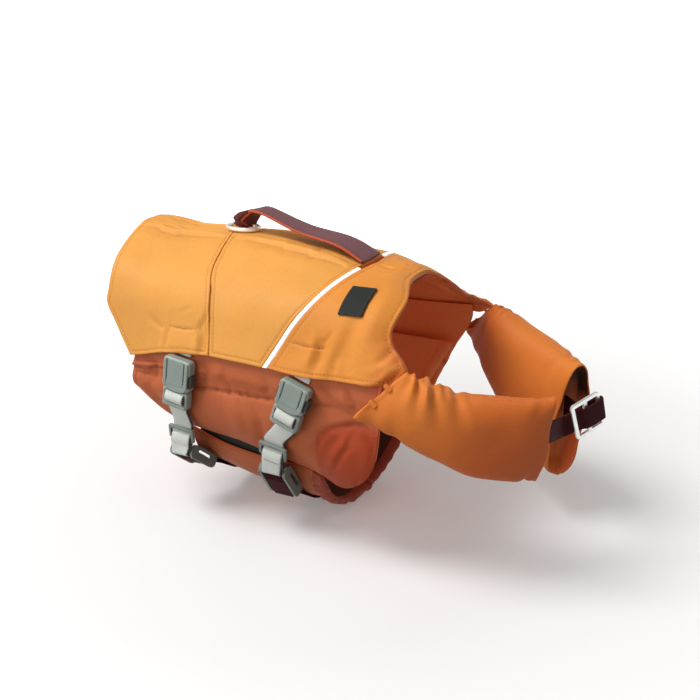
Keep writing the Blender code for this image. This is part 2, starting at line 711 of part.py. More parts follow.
def box_piece(name, frame, low, high, finish, collection, bevel=0.0, corner=0.0, axis=0):
    """A box in a fitting's frame, from low to high corner: corner rounds the edges along one axis."""
    mesh = bpy.data.meshes.new(name)
    shape = bmesh.new()
    bmesh.ops.create_cube(shape, size=1.0)
    size = Vector(high) - Vector(low)
    middle = (Vector(high) + Vector(low)) / 2
    for vert in shape.verts:
        vert.co = Vector([vert.co[i] * size[i] + middle[i] for i in range(3)]) * MM
    if corner:
        along = [edge for edge in shape.edges
                 if abs(edge.verts[0].co[axis] - edge.verts[1].co[axis]) > 0.9 * size[axis] * MM]
        bmesh.ops.bevel(shape, geom=along, offset=corner * MM, segments=3, profile=0.5, affect="EDGES")
    bmesh.ops.recalc_face_normals(shape, faces=shape.faces)
    shape.to_mesh(mesh)
    shape.free()
    thing = bpy.data.objects.new(name, mesh)
    thing["finish"] = finish
    thing.data.materials.append(make_material(name, finish))
    collection.objects.link(thing)
    matrix = frame.copy()
    matrix.translation = frame.translation * MM
    thing.matrix_world = matrix
    if bevel:
        rounding = thing.modifiers.new("rounding", "BEVEL")
        rounding.width = bevel * MM
        rounding.segments = 1
        rounding.limit_method = "ANGLE"
        rounding.angle_limit = math.radians(50.0)
    return thing


def cut(thing, name, frame, low, high, cutters, corner=0.0, axis=0):
    """Cut a box out of a piece."""
    cutter = box_piece(name, frame, low, high, thing["finish"], cutters, 0.0, corner, axis)
    cutter.hide_render = True
    cutter.display_type = "WIRE"
    boolean = thing.modifiers.new(name, "BOOLEAN")
    boolean.object = cutter
    boolean.operation = "DIFFERENCE"


def build_buckle(prefix, frame, length, collection, cutters):
    """Female and male half of a side-release buckle, closed."""
    half_w = BUCKLE_WIDTH / 2
    half_t = BUCKLE_THICK / 2
    slot = WEB_WIDTH / 2 + 0.8
    top = length - MALE_LENGTH
    female = box_piece(prefix + "_buckle_female", frame, (-half_w, 0.0, -half_t), (half_w, top - GAP, half_t),
                       "buckle_grey", collection, 1.2, 3.0, 2)
    for side, label in ((-1, "front"), (1, "rear")):
        middle = side * (half_w + 0.4)
        cut(female, prefix + "_release_" + label, frame, (middle - 2.6, top - 17.0, -half_t - 1.0),
            (middle + 2.6, top - 5.0, half_t + 1.0), cutters, 2.2, 2)
    male = box_piece(prefix + "_buckle_male", frame, (-half_w + 0.8, top, -half_t + 0.6),
                     (half_w - 0.8, length, half_t - 0.4), "buckle_grey", collection, 1.0, 2.2, 2)
    cut(male, prefix + "_web_window", frame, (-slot, top + 3.6, -half_t - 2.0),
        (slot, length - MALE_BAR, half_t + 2.0), cutters)
    cut(male, prefix + "_web_relief", frame, (-slot, length - MALE_BAR - 1.0, -half_t - 2.0),
        (slot, length + 3.0, -0.6), cutters)


def build_slide(prefix, frame, collection, cutters):
    half_w = WEB_WIDTH / 2 + 3.4
    half_l = SLIDE_LENGTH / 2
    slide = box_piece(prefix + "_slide", frame, (-half_w, -half_l, -1.5), (half_w, half_l, 1.5),
                      "buckle_grey", collection, 0.6, 2.0, 2)
    cut(slide, prefix + "_slide_window", frame, (-WEB_WIDTH / 2 - 0.8, -half_l + SLIDE_BAR, -4.0),
        (WEB_WIDTH / 2 + 0.8, half_l - SLIDE_BAR, 4.0), cutters)


def build_ring(prefix, frame, length, collection, cutters):
    """Ladder-shaped ring: three bars between two deep cheeks, each with a slot through it."""
    half_w = WEB_WIDTH / 2 + 3.6
    inner = WEB_WIDTH / 2 + 0.9
    half_bar = RING_BAR / 2
    ring = box_piece(prefix + "_ring", frame, (-half_w, -RING_BAR - 0.4, -RING_CHEEK_IN),
                     (half_w, length, RING_CHEEK_OUT), "ring_grey", collection, 0.0, 5.0, 0)
    for face, low, high in (("front", half_bar, 12.0), ("back", -14.0, -half_bar)):
        cut(ring, prefix + "_ring_" + face, frame, (-inner, -9.0, low), (inner, length + 9.0, high), cutters)
    cut(ring, prefix + "_ring_upper", frame, (-inner, -0.4, -6.0), (inner, RING_MIDDLE, 6.0), cutters)
    cut(ring, prefix + "_ring_lower", frame, (-inner, RING_MIDDLE + RING_BAR, -6.0),
        (inner, length - RING_BAR, 6.0), cutters)
    cut(ring, prefix + "_ring_slot", frame, (-half_w - 2.0, 5.0, -RING_CHEEK_IN + 2.6),
        (half_w + 2.0, length - 8.0, -2.6), cutters, 1.6, 0)


def build_grey_web(prefix, buckle, length, slide, ring, collection):
    """Out through the male half's window, behind its bar, through the slide, round the ring's upper bar and
    back up behind."""
    window = length - MALE_LENGTH + 4.6
    half_l = SLIDE_LENGTH / 2
    route = [(buckle, window, 0.6), (buckle, window + 2.2, 2.6), (buckle, window + 4.4, 1.8),
             (buckle, length - MALE_BAR - 1.5, -1.4), (buckle, length - 2.0, -2.5),
             (buckle, length + 4.0, -2.7),
             (slide, -half_l - 5.0, -2.8), (slide, -half_l + 1.2, -2.9), (slide, -1.2, -1.3),
             (slide, 1.2, 1.3), (slide, half_l - 1.2, 2.9), (slide, half_l + 3.5, 3.2)]
    bar = ring @ Vector((0.0, -RING_BAR / 2 - 0.4, 0.0))
    local = slide.inverted() @ bar
    across = ring.to_3x3() @ Vector((1.0, 0.0, 0.0))
    points = [frame @ Vector((0.0, down, out)) for frame, down, out in route]
    dirs = [frame.to_3x3() @ Vector((1.0, 0.0, 0.0)) for frame, _, _ in route]
    path = smooth_path(points, 3)
    widths = smooth_path(dirs, 3)
    down = slide.to_3x3() @ Vector((0.0, 1.0, 0.0))
    down = (down - across * down.dot(across)).normalized()
    out = across.cross(down)
    for step in range(10):
        angle = math.pi * step / 9
        path.append(bar + (down * math.sin(angle) + out * math.cos(angle)) * HAIRPIN_RADIUS)
        widths.append(across)
    for back in (5.0, local.y - half_l - 3.0):
        path.append(bar - down * back - out * (HAIRPIN_RADIUS + 0.25 * back))
        widths.append(across)
    strap(prefix + "_grey_web", path, widths, [WEB_WIDTH] * len(path), WEB_THICK, "webbing_grey",
          collection)


def build_belly_web(prefix, places, frame, length, collection):
    """From its tail over the ring's front, round the middle bar, behind the lower bar and along the belly to
    the left seam."""
    turn = RING_MIDDLE + RING_BAR / 2
    end = turn + 3.0 + places["tail"] * (length - turn - 4.0)
    path = [frame @ Vector((0.0, end, HAIRPIN_RADIUS)),
            frame @ Vector((0.0, (end + turn) / 2, HAIRPIN_RADIUS))]
    for step in range(9):
        angle = math.pi * step / 8
        path.append(frame @ Vector((0.0, turn - HAIRPIN_RADIUS * math.sin(angle),
                                    HAIRPIN_RADIUS * math.cos(angle))))
    path.append(frame @ Vector((0.0, (length + turn) / 2, -HAIRPIN_RADIUS)))
    path.append(frame @ Vector((0.0, length - 1.0, -HAIRPIN_RADIUS)))
    dirs = [frame.to_3x3() @ Vector((1.0, 0.0, 0.0))] * len(path)
    web_x = places["web_x"]
    final = 9.0
    while belly_point(web_x, final).z > between(FLANK_EDGE, web_x) - 3.5:
        final -= 0.05
    for step in range(17):
        row = BELLY_WEB_START + (final - BELLY_WEB_START) * step / 16
        path.append(belly_point(web_x, row) + belly_normal(web_x, row) * (WEB_THICK / 2 + 0.7))
        dirs.append(belly_point(web_x - 10.0, row) - belly_point(web_x + 10.0, row))
    strap(prefix + "_belly_web", path, dirs, [WEB_WIDTH] * len(path), WEB_THICK, "maroon",
          collection)


def build_straps(collection, cutters):
    """Two buckle sets on the right side."""
    for prefix, places in BUCKLE_SETS.items():
        buckle = fitting_frame(places["top"], places["foot"])
        slide = fitting_frame(places["slide"], places["bend"])
        ring = fitting_frame(places["bend"], places["ring_end"])
        buckle_length = (Vector(places["foot"]) - Vector(places["top"])).length
        ring_length = (Vector(places["ring_end"]) - Vector(places["bend"])).length
        build_buckle(prefix, buckle, buckle_length, collection, cutters)
        build_slide(prefix, slide, collection, cutters)
        build_ring(prefix, ring, ring_length, collection, cutters)
        build_grey_web(prefix, buckle, buckle_length, slide, ring, collection)
        build_belly_web(prefix, places, ring, ring_length, collection)
        tab = [buckle @ Vector((0.0, down, out)) for down, out in ((-6.0, -6.6), (-3.4, -6.2), (-1.4, -5.3))]
        across = buckle.to_3x3() @ Vector((1.0, 0.0, 0.0))
        strap(prefix + "_hem_tab", tab, [across] * 3, [WEB_WIDTH] * 3, WEB_THICK, "webbing_grey",
              collection)


def build_pillow_tabs(collection):
    """Small stitched tabs across the seam between shell and pillows."""
    for label, table, side in (("right", PILLOW_RIGHT, -1), ("left", PILLOW_LEFT, 1)):
        centre, ahead, up, out, height, thickness = pillow_station(table, 0.0, side)
        across = Vector((up.z, 0.0, -up.x)).normalized()
        for number, (along, lift) in enumerate(PILLOW_TABS, 1):
            frame = Matrix((across, up, across.cross(up))).transposed().to_4x4()
            frame.translation = centre + up * along + Vector((0.0, side * lift, 0.0))
            box_piece("pillow_tab_%s_%d" % (label, number), frame, (-6.5, -3.0, -0.6), (2.0, 3.0, 0.6),
                      "pillow_orange", collection, 0.4)


def build_chest(collection, cutters):
    """Maroon webbing between the two pillows, threaded through a metal slide."""
    centre = Vector(CHEST_SLIDE_CENTRE)
    along = Vector(CHEST_SLIDE_ALONG).normalized()
    upward = Vector(CHEST_SLIDE_UP)
    upward = (upward - along * upward.dot(along)).normalized()
    out = along.cross(upward)
    frame = Matrix((along, upward, out)).transposed().to_4x4()
    frame.translation = centre
    half_l = CHEST_SLIDE_LENGTH / 2
    half_h = WEB_WIDTH / 2 + CHEST_SLIDE_SLACK + CHEST_SLIDE_BAR
    inner = WEB_WIDTH / 2 + CHEST_SLIDE_SLACK
    near_edge, far_edge = CHEST_MIDDLE_BAR
    body = box_piece("chest_slide", frame, (-half_l, -half_h, -CHEST_SLIDE_THICK / 2),
                     (half_l, half_h, CHEST_SLIDE_THICK / 2), "metal", collection, 0.5, 3.4, 2)
    cut(body, "chest_window_near", frame, (-half_l + CHEST_SLIDE_BAR, -inner, -4.0), (near_edge, inner, 4.0),
        cutters)
    cut(body, "chest_window_far", frame, (far_edge, -inner, -4.0), (half_l - CHEST_SLIDE_BAR, inner, 4.0),
        cutters)
    right = pillow_station(PILLOW_RIGHT, len(PILLOW_RIGHT) - 1, -1)
    left = pillow_station(PILLOW_LEFT, len(PILLOW_LEFT) - 1, 1)
    first = right[0] - right[1] * CHEST_WEB_SEAT[0]
    lift = Vector((0.0, 0.0, CHEST_WEB_RISE[0]))
    mouth = left[0] + left[2] * CHEST_WEB_RISE[1]
    points = [first + lift, right[0] + right[1] * 3.0 + lift, frame @ Vector((-half_l - 9.0, 0.0, -4.6)),
              frame @ Vector((-half_l - 1.0, 0.0, -3.0)),
              frame @ Vector((-half_l + CHEST_SLIDE_BAR, 0.0, -2.6)),
              frame @ Vector((-6.6, 0.0, 0.0)), frame @ Vector((near_edge, 0.0, 2.8)),
              frame @ Vector((half_l - 4.0, 0.0, 3.0))]
    path = smooth_path(points, 3)
    for step in range(1, 9):
        angle = math.pi * step / 8
        path.append(frame @ Vector((half_l - 1.4 + 3.1 * math.sin(angle), 0.0, 3.1 * math.cos(angle))))
    tail = [path[-1], frame @ Vector((half_l - 8.0, 0.0, -4.4)), frame @ Vector((2.0, 0.0, -8.5)),
            mouth + left[1] * 6.0, mouth, mouth - left[1] * CHEST_WEB_SEAT[1]]
    path += smooth_path(tail, 3)[1:]
    level = Vector((0.0, 0.0, 1.0))
    dirs = []
    for point in path:
        near = math.exp(-((point - centre).length / 24.0) ** 4)
        dirs.append(level * (1.0 - near) + upward * near)
    strap("chest_web", path, dirs, [WEB_WIDTH] * len(path), WEB_THICK, "maroon", collection)


def main():
    clear_scene()
    collection = make_collection("dog_life_jacket")
    cutters = make_collection("cutters")
    build_shell(collection)
    build_piping(collection)
    build_flanks(collection)
    build_belly(collection)
    build_flap(collection)
    build_pillows(collection)
    build_pillow_tabs(collection)
    build_handle(collection)
    build_leash_ring(collection)
    build_neck_tape(collection)
    build_label(collection)
    build_straps(collection, cutters)
    build_chest(collection, cutters)


main()
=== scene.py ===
# %% [markdown]
# # A dog's life jacket, dressed
#
# The solids of the jacket arrive as a fixed frame: every panel, strap and fitting already has its place
# and its size. This lesson gives each one the surface that a maker would recognise: coated cloth over
# thin foam, woven straps, moulded buckles and bright thread. Every piece keeps its place, so it is grown
# from its solid or laid on it.

# %% Load the solids
import json
import math

import bmesh
import bpy
import numpy as np
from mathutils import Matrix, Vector, noise
from mathutils.kdtree import KDTree

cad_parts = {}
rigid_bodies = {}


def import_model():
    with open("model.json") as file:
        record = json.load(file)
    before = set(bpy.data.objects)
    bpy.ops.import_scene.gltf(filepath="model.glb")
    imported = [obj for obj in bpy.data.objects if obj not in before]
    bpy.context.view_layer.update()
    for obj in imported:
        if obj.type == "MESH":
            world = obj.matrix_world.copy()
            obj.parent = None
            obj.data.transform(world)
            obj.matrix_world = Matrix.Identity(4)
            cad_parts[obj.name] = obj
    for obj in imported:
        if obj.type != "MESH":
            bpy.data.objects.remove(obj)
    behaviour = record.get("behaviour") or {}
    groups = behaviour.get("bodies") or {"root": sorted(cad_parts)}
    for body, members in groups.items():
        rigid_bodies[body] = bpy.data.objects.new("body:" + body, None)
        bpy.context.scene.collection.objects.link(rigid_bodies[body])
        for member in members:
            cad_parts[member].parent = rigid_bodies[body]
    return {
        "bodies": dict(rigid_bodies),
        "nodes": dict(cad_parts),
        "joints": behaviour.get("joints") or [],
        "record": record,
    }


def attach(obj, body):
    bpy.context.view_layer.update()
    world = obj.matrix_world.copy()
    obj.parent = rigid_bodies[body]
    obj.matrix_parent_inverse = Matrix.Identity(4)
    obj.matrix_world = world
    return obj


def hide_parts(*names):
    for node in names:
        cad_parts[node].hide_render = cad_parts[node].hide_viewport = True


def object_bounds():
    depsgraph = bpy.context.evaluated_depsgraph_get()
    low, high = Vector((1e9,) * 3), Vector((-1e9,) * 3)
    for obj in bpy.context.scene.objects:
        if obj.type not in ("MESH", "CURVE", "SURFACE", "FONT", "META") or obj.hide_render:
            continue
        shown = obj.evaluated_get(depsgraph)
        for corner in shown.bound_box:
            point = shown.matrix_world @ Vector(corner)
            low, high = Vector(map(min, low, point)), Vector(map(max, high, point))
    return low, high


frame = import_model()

MM = 0.001
solids = frame["nodes"]
solids_low, solids_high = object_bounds()
print("solids:", len(solids), "from", list(solids_low), "to", list(solids_high))

# %% [markdown]
# ## Camera, floor and light
#
# A jacket like this is shown from its right shoulder, a little from above. A 50 mm lens at just under a
# metre keeps the near pillow from looking too large. The floor is a wide pale sheet with no visible edge.
# Round it stands a white dome that only the camera sees, so a low view has no grey horizon and the dome
# sheds no light. Three large soft lamps do the work of a studio: one above, one to fill the near side,
# one behind.

# %% Camera
LENS_MM, SENSOR_MM = 50.0, 36.0
AZIMUTH, ELEVATION = math.radians(27.5), math.radians(21.0)
AIM, STAND_OFF = Vector((0.066, 0.0, -0.091)), 0.892

towards_camera = Vector((math.sin(AZIMUTH) * math.cos(ELEVATION), -math.cos(AZIMUTH) * math.cos(ELEVATION),
                         math.sin(ELEVATION)))
camera = bpy.data.objects.new("camera", bpy.data.cameras.new("camera"))
camera.data.lens, camera.data.sensor_width = LENS_MM, SENSOR_MM
camera.location = AIM + towards_camera * STAND_OFF
camera.rotation_euler = (-towards_camera).to_track_quat("-Z", "Y").to_euler()
bpy.context.scene.collection.objects.link(camera)
bpy.context.scene.camera = camera
print("camera at", [round(value, 3) for value in camera.location])


# %% Floor and backdrop
def link_mesh(name, points, faces, smooth=True):
    """A mesh object from points in metres."""
    mesh = bpy.data.meshes.new(name)
    corners = [tuple(map(float, point)) for point in points]
    mesh.from_pydata(corners, [], [tuple(map(int, face)) for face in faces])
    mesh.validate()
    if smooth:
        mesh.shade_smooth()
    thing = bpy.data.objects.new(name, mesh)
    bpy.context.scene.collection.objects.link(thing)
    return thing


FLOOR_REACH_M, FLOOR_DROP_M = 30.0, 0.003
floor_z = solids_low.z - FLOOR_DROP_M
reach = (-FLOOR_REACH_M, FLOOR_REACH_M)
floor = link_mesh("floor", [(x, y, floor_z) for x in reach for y in reach], [(0, 2, 3, 1)], smooth=False)
floor.visible_diffuse = False

DOME_M, DOME_SIDES, DOME_SKIRT_M = 26.0, 32, 0.5
turns = [2 * math.pi * side / DOME_SIDES for side in range(DOME_SIDES)]
points = [(DOME_M * math.cos(turn), DOME_M * math.sin(turn), floor_z + rise)
          for rise in (-DOME_SKIRT_M, DOME_M) for turn in turns]
pairs = [(side, (side + 1) % DOME_SIDES) for side in range(DOME_SIDES)]
walls = [(side, after, DOME_SIDES + after, DOME_SIDES + side) for side, after in pairs]
roof = [(DOME_SIDES + side, DOME_SIDES + after, 2 * DOME_SIDES) for side, after in pairs]
backdrop = link_mesh("backdrop", points + [(0, 0, DOME_M)], walls + roof, smooth=False)
for light in ("diffuse", "glossy", "shadow", "transmission"):
    setattr(backdrop, "visible_" + light, False)
print("floor at", round(floor_z, 4), "with a dome of", len(walls + roof), "faces")

# %% Lamps and sky
SKY, SKY_STRENGTH = (1.0, 0.98, 0.95, 1.0), 0.33
LAMPS = (
    # name, place (m), width (m), power (W)
    ("lamp_above", (-0.75, -0.6, 1.5), 0.9, 27.7),
    ("lamp_near_side", (-1.0, -1.9, 0.55), 1.5, 15.0),
    ("lamp_behind", (0.6, 1.8, 1.2), 1.6, 7.0),
)

world = bpy.data.worlds.new("studio")
world.use_nodes = True
world.node_tree.nodes["Background"].inputs["Color"].default_value = SKY
world.node_tree.nodes["Background"].inputs["Strength"].default_value = SKY_STRENGTH
bpy.context.scene.world = world
bpy.context.scene.view_settings.view_transform = "Standard"


def soft_lamp(name, place, aim, size, power):
    """A square area lamp that looks at a point."""
    lamp = bpy.data.lights.new(name, "AREA")
    lamp.size, lamp.energy = size, power
    thing = bpy.data.objects.new(name, lamp)
    thing.location = place
    thing.rotation_euler = (Vector(aim) - Vector(place)).to_track_quat("-Z", "Y").to_euler()
    bpy.context.scene.collection.objects.link(thing)


for name, place, width, power in LAMPS:
    soft_lamp(name, place, AIM, width, power)
print("lamps:", [name for name, *_ in LAMPS])

# %% [markdown]
# ## Finishes
#
# Every finish is made of nodes and no pictures, so it sits in the object's own space and looks the same
# from any side. The helpers below make the nodes that all finishes share: a ramp of colours, one layer of
# colour laid over another, and a weave, which is the product of two sine waves, one for each way that the
# threads run.

# %% Node helpers
WHITE = (1.0, 1.0, 1.0)
# sockets of a Mix node that mixes colours: the two layers and the result
LAYER_A, LAYER_B, MIXED = 6, 7, 2
SHEEN_ROUGHNESS = 0.4


def add_node(tree, kind, values=None, **settings):
    """A shader node with its settings and the values of its sockets."""
    node = tree.nodes.new(kind)
    for key, value in settings.items():
        setattr(node, key, value)
    for key, value in (values or {}).items():
        node.inputs[key].default_value = value
    return node


def new_finish(name, roughness, metallic=0.0, specular=0.5, sheen=0.0, coat=0.0):
    """A material with one Principled shader; constants go straight on its sockets."""
    finish = bpy.data.materials.new(name)
    finish.use_nodes = True
    tree = finish.node_tree
    shader = tree.nodes["Principled BSDF"]
    for key, value in (("Roughness", roughness), ("Metallic", metallic), ("Specular IOR Level", specular),
                       ("Sheen Weight", sheen), ("Sheen Roughness", SHEEN_ROUGHNESS), ("Coat Weight", coat)):
        shader.inputs[key].default_value = value
    return finish, tree, shader


def colour_steps(tree, factor, stops):
    """A colour ramp over a factor; stops are (place, colour)."""
    ramp = tree.nodes.new("ShaderNodeValToRGB")
    while len(ramp.color_ramp.elements) < len(stops):
        ramp.color_ramp.elements.new(0.5)
    for element, (place, colour) in zip(ramp.color_ramp.elements, stops):
        element.position = place
        element.color = (*colour, 1.0)
    tree.links.new(factor, ramp.inputs["Fac"])
    return ramp.outputs["Color"]


def shaded(colour, share):
    """A colour made lighter or darker by a share."""
    return tuple(min(1.0, max(0.0, channel * share)) for channel in colour)


def multiplied(tree, first, second):
    """One layer of colour multiplied by another."""
    blend = add_node(tree, "ShaderNodeMix", {"Factor": 1.0}, data_type="RGBA", blend_type="MULTIPLY")
    tree.links.new(first, blend.inputs[LAYER_A])
    tree.links.new(second, blend.inputs[LAYER_B])
    return blend.outputs[MIXED]


def woven(tree, ways):
    """The product of a sine wave along each way; ways are (value, radians for each unit of it)."""
    weave = add_node(tree, "ShaderNodeMath", operation="MULTIPLY")
    for index, (value, rate) in enumerate(ways):
        turns = add_node(tree, "ShaderNodeMath", {1: rate}, operation="MULTIPLY")
        wave = add_node(tree, "ShaderNodeMath", operation="SINE")
        tree.links.new(value, turns.inputs[0])
        tree.links.new(turns.outputs[0], wave.inputs[0])
        tree.links.new(wave.outputs[0], weave.inputs[index])
    return weave.outputs[0]


def with_bump(tree, shader, height, strength, distance):
    """Fine relief from a height, felt only by the light."""
    bump = add_node(tree, "ShaderNodeBump", {"Strength": strength, "Distance": distance})
    tree.links.new(height, bump.inputs["Height"])
    tree.links.new(bump.outputs[0], shader.inputs["Normal"])


def glow_white(shader, strength, base):
    """Light of its own for a studio surface over a grey base."""
    shader.inputs["Base Color"].default_value = (base, base, base, 1.0)
    shader.inputs["Emission Color"].default_value = (*WHITE, 1.0)
    shader.inputs["Emission Strength"].default_value = strength


# %% [markdown]
# The floor has to fade to white without an edge. It could be lit from every side, but that would wash out
# the jacket. Instead the floor gives off a little light of its own, more with every step away from the
# jacket, so the soft shadow under it stays.

# %% Floor and backdrop finishes
# distance from the middle (m) and the light given off there
GLOW_NEAR, GLOW_FAR = (0.36, 0.14), (1.4, 1.0)

pale_floor, tree, shader = new_finish("pale_floor", 0.8, specular=0.2)
glow_white(shader, GLOW_NEAR[1], 0.80)
reach = add_node(tree, "ShaderNodeVectorMath", operation="LENGTH")
tree.links.new(add_node(tree, "ShaderNodeTexCoord").outputs["Object"], reach.inputs[0])
glow = add_node(tree, "ShaderNodeMapRange", {"From Min": GLOW_NEAR[0], "From Max": GLOW_FAR[0],
                                             "To Min": GLOW_NEAR[1], "To Max": GLOW_FAR[1]})
tree.links.new(reach.outputs["Value"], glow.inputs["Value"])
tree.links.new(glow.outputs[0], shader.inputs["Emission Strength"])
floor.data.materials.append(pale_floor)
white_paper, tree, shader = new_finish("white_paper", 1.0, specular=0.0)
glow_white(shader, 1.0, 0.0)
backdrop.data.materials.append(white_paper)
print("stage finishes:", pale_floor.name, white_paper.name)

# %% [markdown]
# The shell is a coated ripstop. Cloth needs three things: a weave so fine that it only breaks up the
# shine, a slow drift of colour as in any dyed lot, and marks of wear and light: lighter on the high folds
# from wear and painted highlight, and darker down in the seams and hollows as painted shade. Pointiness
# finds folds and seams by itself. Two values that the mesh carries do the rest: "seam_mm" darkens the
# cloth at its edge and along the sewn groove, and "deep" gives painted shade to places that hardly any
# light reaches.

# %% Finish for coated cloth
THREADS_PER_M = 2300.0
# darker at the edge and along the sewn groove: tone over the distance from the edge, in centimetres
SEAM_SHADES = ((0.02, (0.74, 0.70, 0.66)), (0.16, WHITE), (0.29, WHITE), (0.35, (0.80, 0.76, 0.72)),
               (0.39, (0.80, 0.76, 0.72)), (0.47, WHITE))
CM_PER_MM = 0.1
# painted shade in hollows, and wear with painted highlight on ridges, over Pointiness from hollow to ridge
WORN_AND_PAINTED_LIGHT = ((0.44, (0.62, 0.58, 0.55)), (0.49, WHITE), (0.52, WHITE), (0.58, (1.12, 1.10, 1.08)))


def cloth_finish(name, colour, girth_sign=-1.0, roughness=0.55, sheen=0.06, drift=0.06, seam=False,
                 painted_shade=None):
    """Coated woven cloth: threads along the body and round it, colour drift, ridges lighter from wear and
    painted highlight, hollows darker with painted shade, and darker seams.

    With seam, the cloth also darkens in the sewn groove beside its edge, from the distance kept in "seam_mm".
    With deep, a colour of painted shade, it takes that share of its colour where the mesh's "deep" value is
    1."""
    finish, tree, shader = new_finish(name, roughness, specular=0.22, sheen=sheen)
    place = add_node(tree, "ShaderNodeTexCoord").outputs["Object"]
    axes = add_node(tree, "ShaderNodeSeparateXYZ")
    tree.links.new(place, axes.inputs[0])
    side = add_node(tree, "ShaderNodeMath", operation="ABSOLUTE")
    tree.links.new(axes.outputs["Y"], side.inputs[0])
    girth = add_node(tree, "ShaderNodeMath", {1: girth_sign}, operation="MULTIPLY_ADD")
    tree.links.new(side.outputs[0], girth.inputs[0])
    tree.links.new(axes.outputs["Z"], girth.inputs[2])
    rate = THREADS_PER_M * math.pi
    weave = woven(tree, ((axes.outputs["X"], rate), (girth.outputs[0], rate)))
    slow = add_node(tree, "ShaderNodeTexNoise", {"Scale": 14.0, "Detail": 3.0, "Roughness": 0.55})
    slub = add_node(tree, "ShaderNodeTexNoise", {"Scale": 420.0, "Detail": 2.0, "Roughness": 0.6})
    for cloud in (slow, slub):
        tree.links.new(place, cloud.inputs["Vector"])
    drifting = ((0.3, shaded(colour, 1 - drift)), (0.7, shaded(colour, 1 + drift)))
    mixed = colour_steps(tree, slow.outputs["Fac"], drifting)
    flecks = colour_steps(tree, slub.outputs["Fac"], ((0.35, (0.955, 0.955, 0.955)), (0.65, WHITE)))
    bend = add_node(tree, "ShaderNodeNewGeometry").outputs["Pointiness"]
    # painted shade in hollows and painted highlight with wear on ridges, both from Pointiness
    layers = [flecks, colour_steps(tree, bend, WORN_AND_PAINTED_LIGHT)]
    if seam:
        distance = add_node(tree, "ShaderNodeAttribute", attribute_name="seam_mm")
        in_cm = add_node(tree, "ShaderNodeMath", {1: CM_PER_MM}, operation="MULTIPLY")
        tree.links.new(distance.outputs["Fac"], in_cm.inputs[0])
        layers.append(colour_steps(tree, in_cm.outputs[0], SEAM_SHADES))
    # painted shade where the mesh's value says that little light reaches
    if painted_shade:
        level = add_node(tree, "ShaderNodeAttribute", attribute_name="painted_shade")
        layers.append(colour_steps(tree, level.outputs["Fac"], ((0.0, WHITE), (1.0, painted_shade))))
    for layer in layers:
        mixed = multiplied(tree, mixed, layer)
    tree.links.new(mixed, shader.inputs["Base Color"])
    rough = add_node(tree, "ShaderNodeMapRange", {"To Min": roughness - 0.06, "To Max": roughness + 0.08})
    tree.links.new(slow.outputs["Fac"], rough.inputs["Value"])
    tree.links.new(rough.outputs[0], shader.inputs["Roughness"])
    relief = add_node(tree, "ShaderNodeMath", {1: 0.3}, operation="MULTIPLY_ADD")
    tree.links.new(weave, relief.inputs[0])
    tree.links.new(slub.outputs["Fac"], relief.inputs[2])
    with_bump(tree, shader, relief.outputs[0], 0.14, 0.0002)
    return finish


# the shoulder panel's orange is the back's orange painted darker and redder, as painted shade
LIGHT_ORANGE, SHADED_ORANGE, PILLOW_ORANGE = (0.80, 0.352, 0.067), (0.77, 0.280, 0.041), (0.74, 0.215, 0.031)
# the lining is the rust cloth painted lighter, as painted light for the dim inside of the jacket
RUST, LIT_LINING_RUST, BINDING_RED = (0.52, 0.125, 0.042), (0.92, 0.230, 0.066), (0.33, 0.062, 0.030)
# black: the label's own cloth, and on the closure flap partly painted shadow
FACING_RUST, TAPE_PURPLE, BLACK_AND_SHADOW = (0.74, 0.20, 0.06), (0.10, 0.035, 0.055), (0.018, 0.021, 0.018)
light_orange = cloth_finish("light_orange_cloth", LIGHT_ORANGE, seam=True)
# the shoulder's cloth also takes this colour as painted shade where the collar turns in
shaded_orange = cloth_finish("shaded_orange_cloth", SHADED_ORANGE, seam=True, painted_shade=(0.78, 0.52, 0.62))
# the pillows' orange takes this colour as painted shade down their sides and towards one end
pillow_orange = cloth_finish("pillow_orange_cloth", PILLOW_ORANGE, drift=0.08, painted_shade=(0.84, 0.58, 0.72))
# the flank's rust takes this colour as painted shade below the top of its lobe
rust = cloth_finish("rust_cloth", RUST, girth_sign=1.0, seam=True, painted_shade=(0.74, 0.40, 0.22))
belly_rust = cloth_finish("belly_rust_cloth", RUST, girth_sign=1.0, seam=True)
# the lining's painted shade: nearly black on the belly pad's floor and inside the top of each pillow
lining = cloth_finish("lining_cloth", LIT_LINING_RUST, painted_shade=(0.07, 0.09, 0.12))
facing = cloth_finish("facing_cloth", FACING_RUST)
binding_red = cloth_finish("binding_red_cloth", BINDING_RED, girth_sign=1.0)
black_and_shadow_cloth = cloth_finish("black_and_shadow_cloth", BLACK_AND_SHADOW, girth_sign=1.0, roughness=0.7)
purple_tape = cloth_finish("purple_tape", TAPE_PURPLE, roughness=0.7)
print("cloth finishes:", [finish.name for finish in bpy.data.materials if "cloth" in finish.name])

# %% [markdown]
# Webbing is a heavy weave with ribs that can be seen. The ribs have to follow a strap round every bend,
# so this finish isn't read from the object's space. Each strap carries a map in millimetres, across it
# and along it, and the ribs, the yarns and the dark edge are all measured on that map. On grey webbing
# the dark edge is partly its selvedge and partly painted shade where its layers part.

# %% Finish for woven straps
# an edge this far out lies beyond any strap, so none shows
NO_EDGE_MM = 99.0


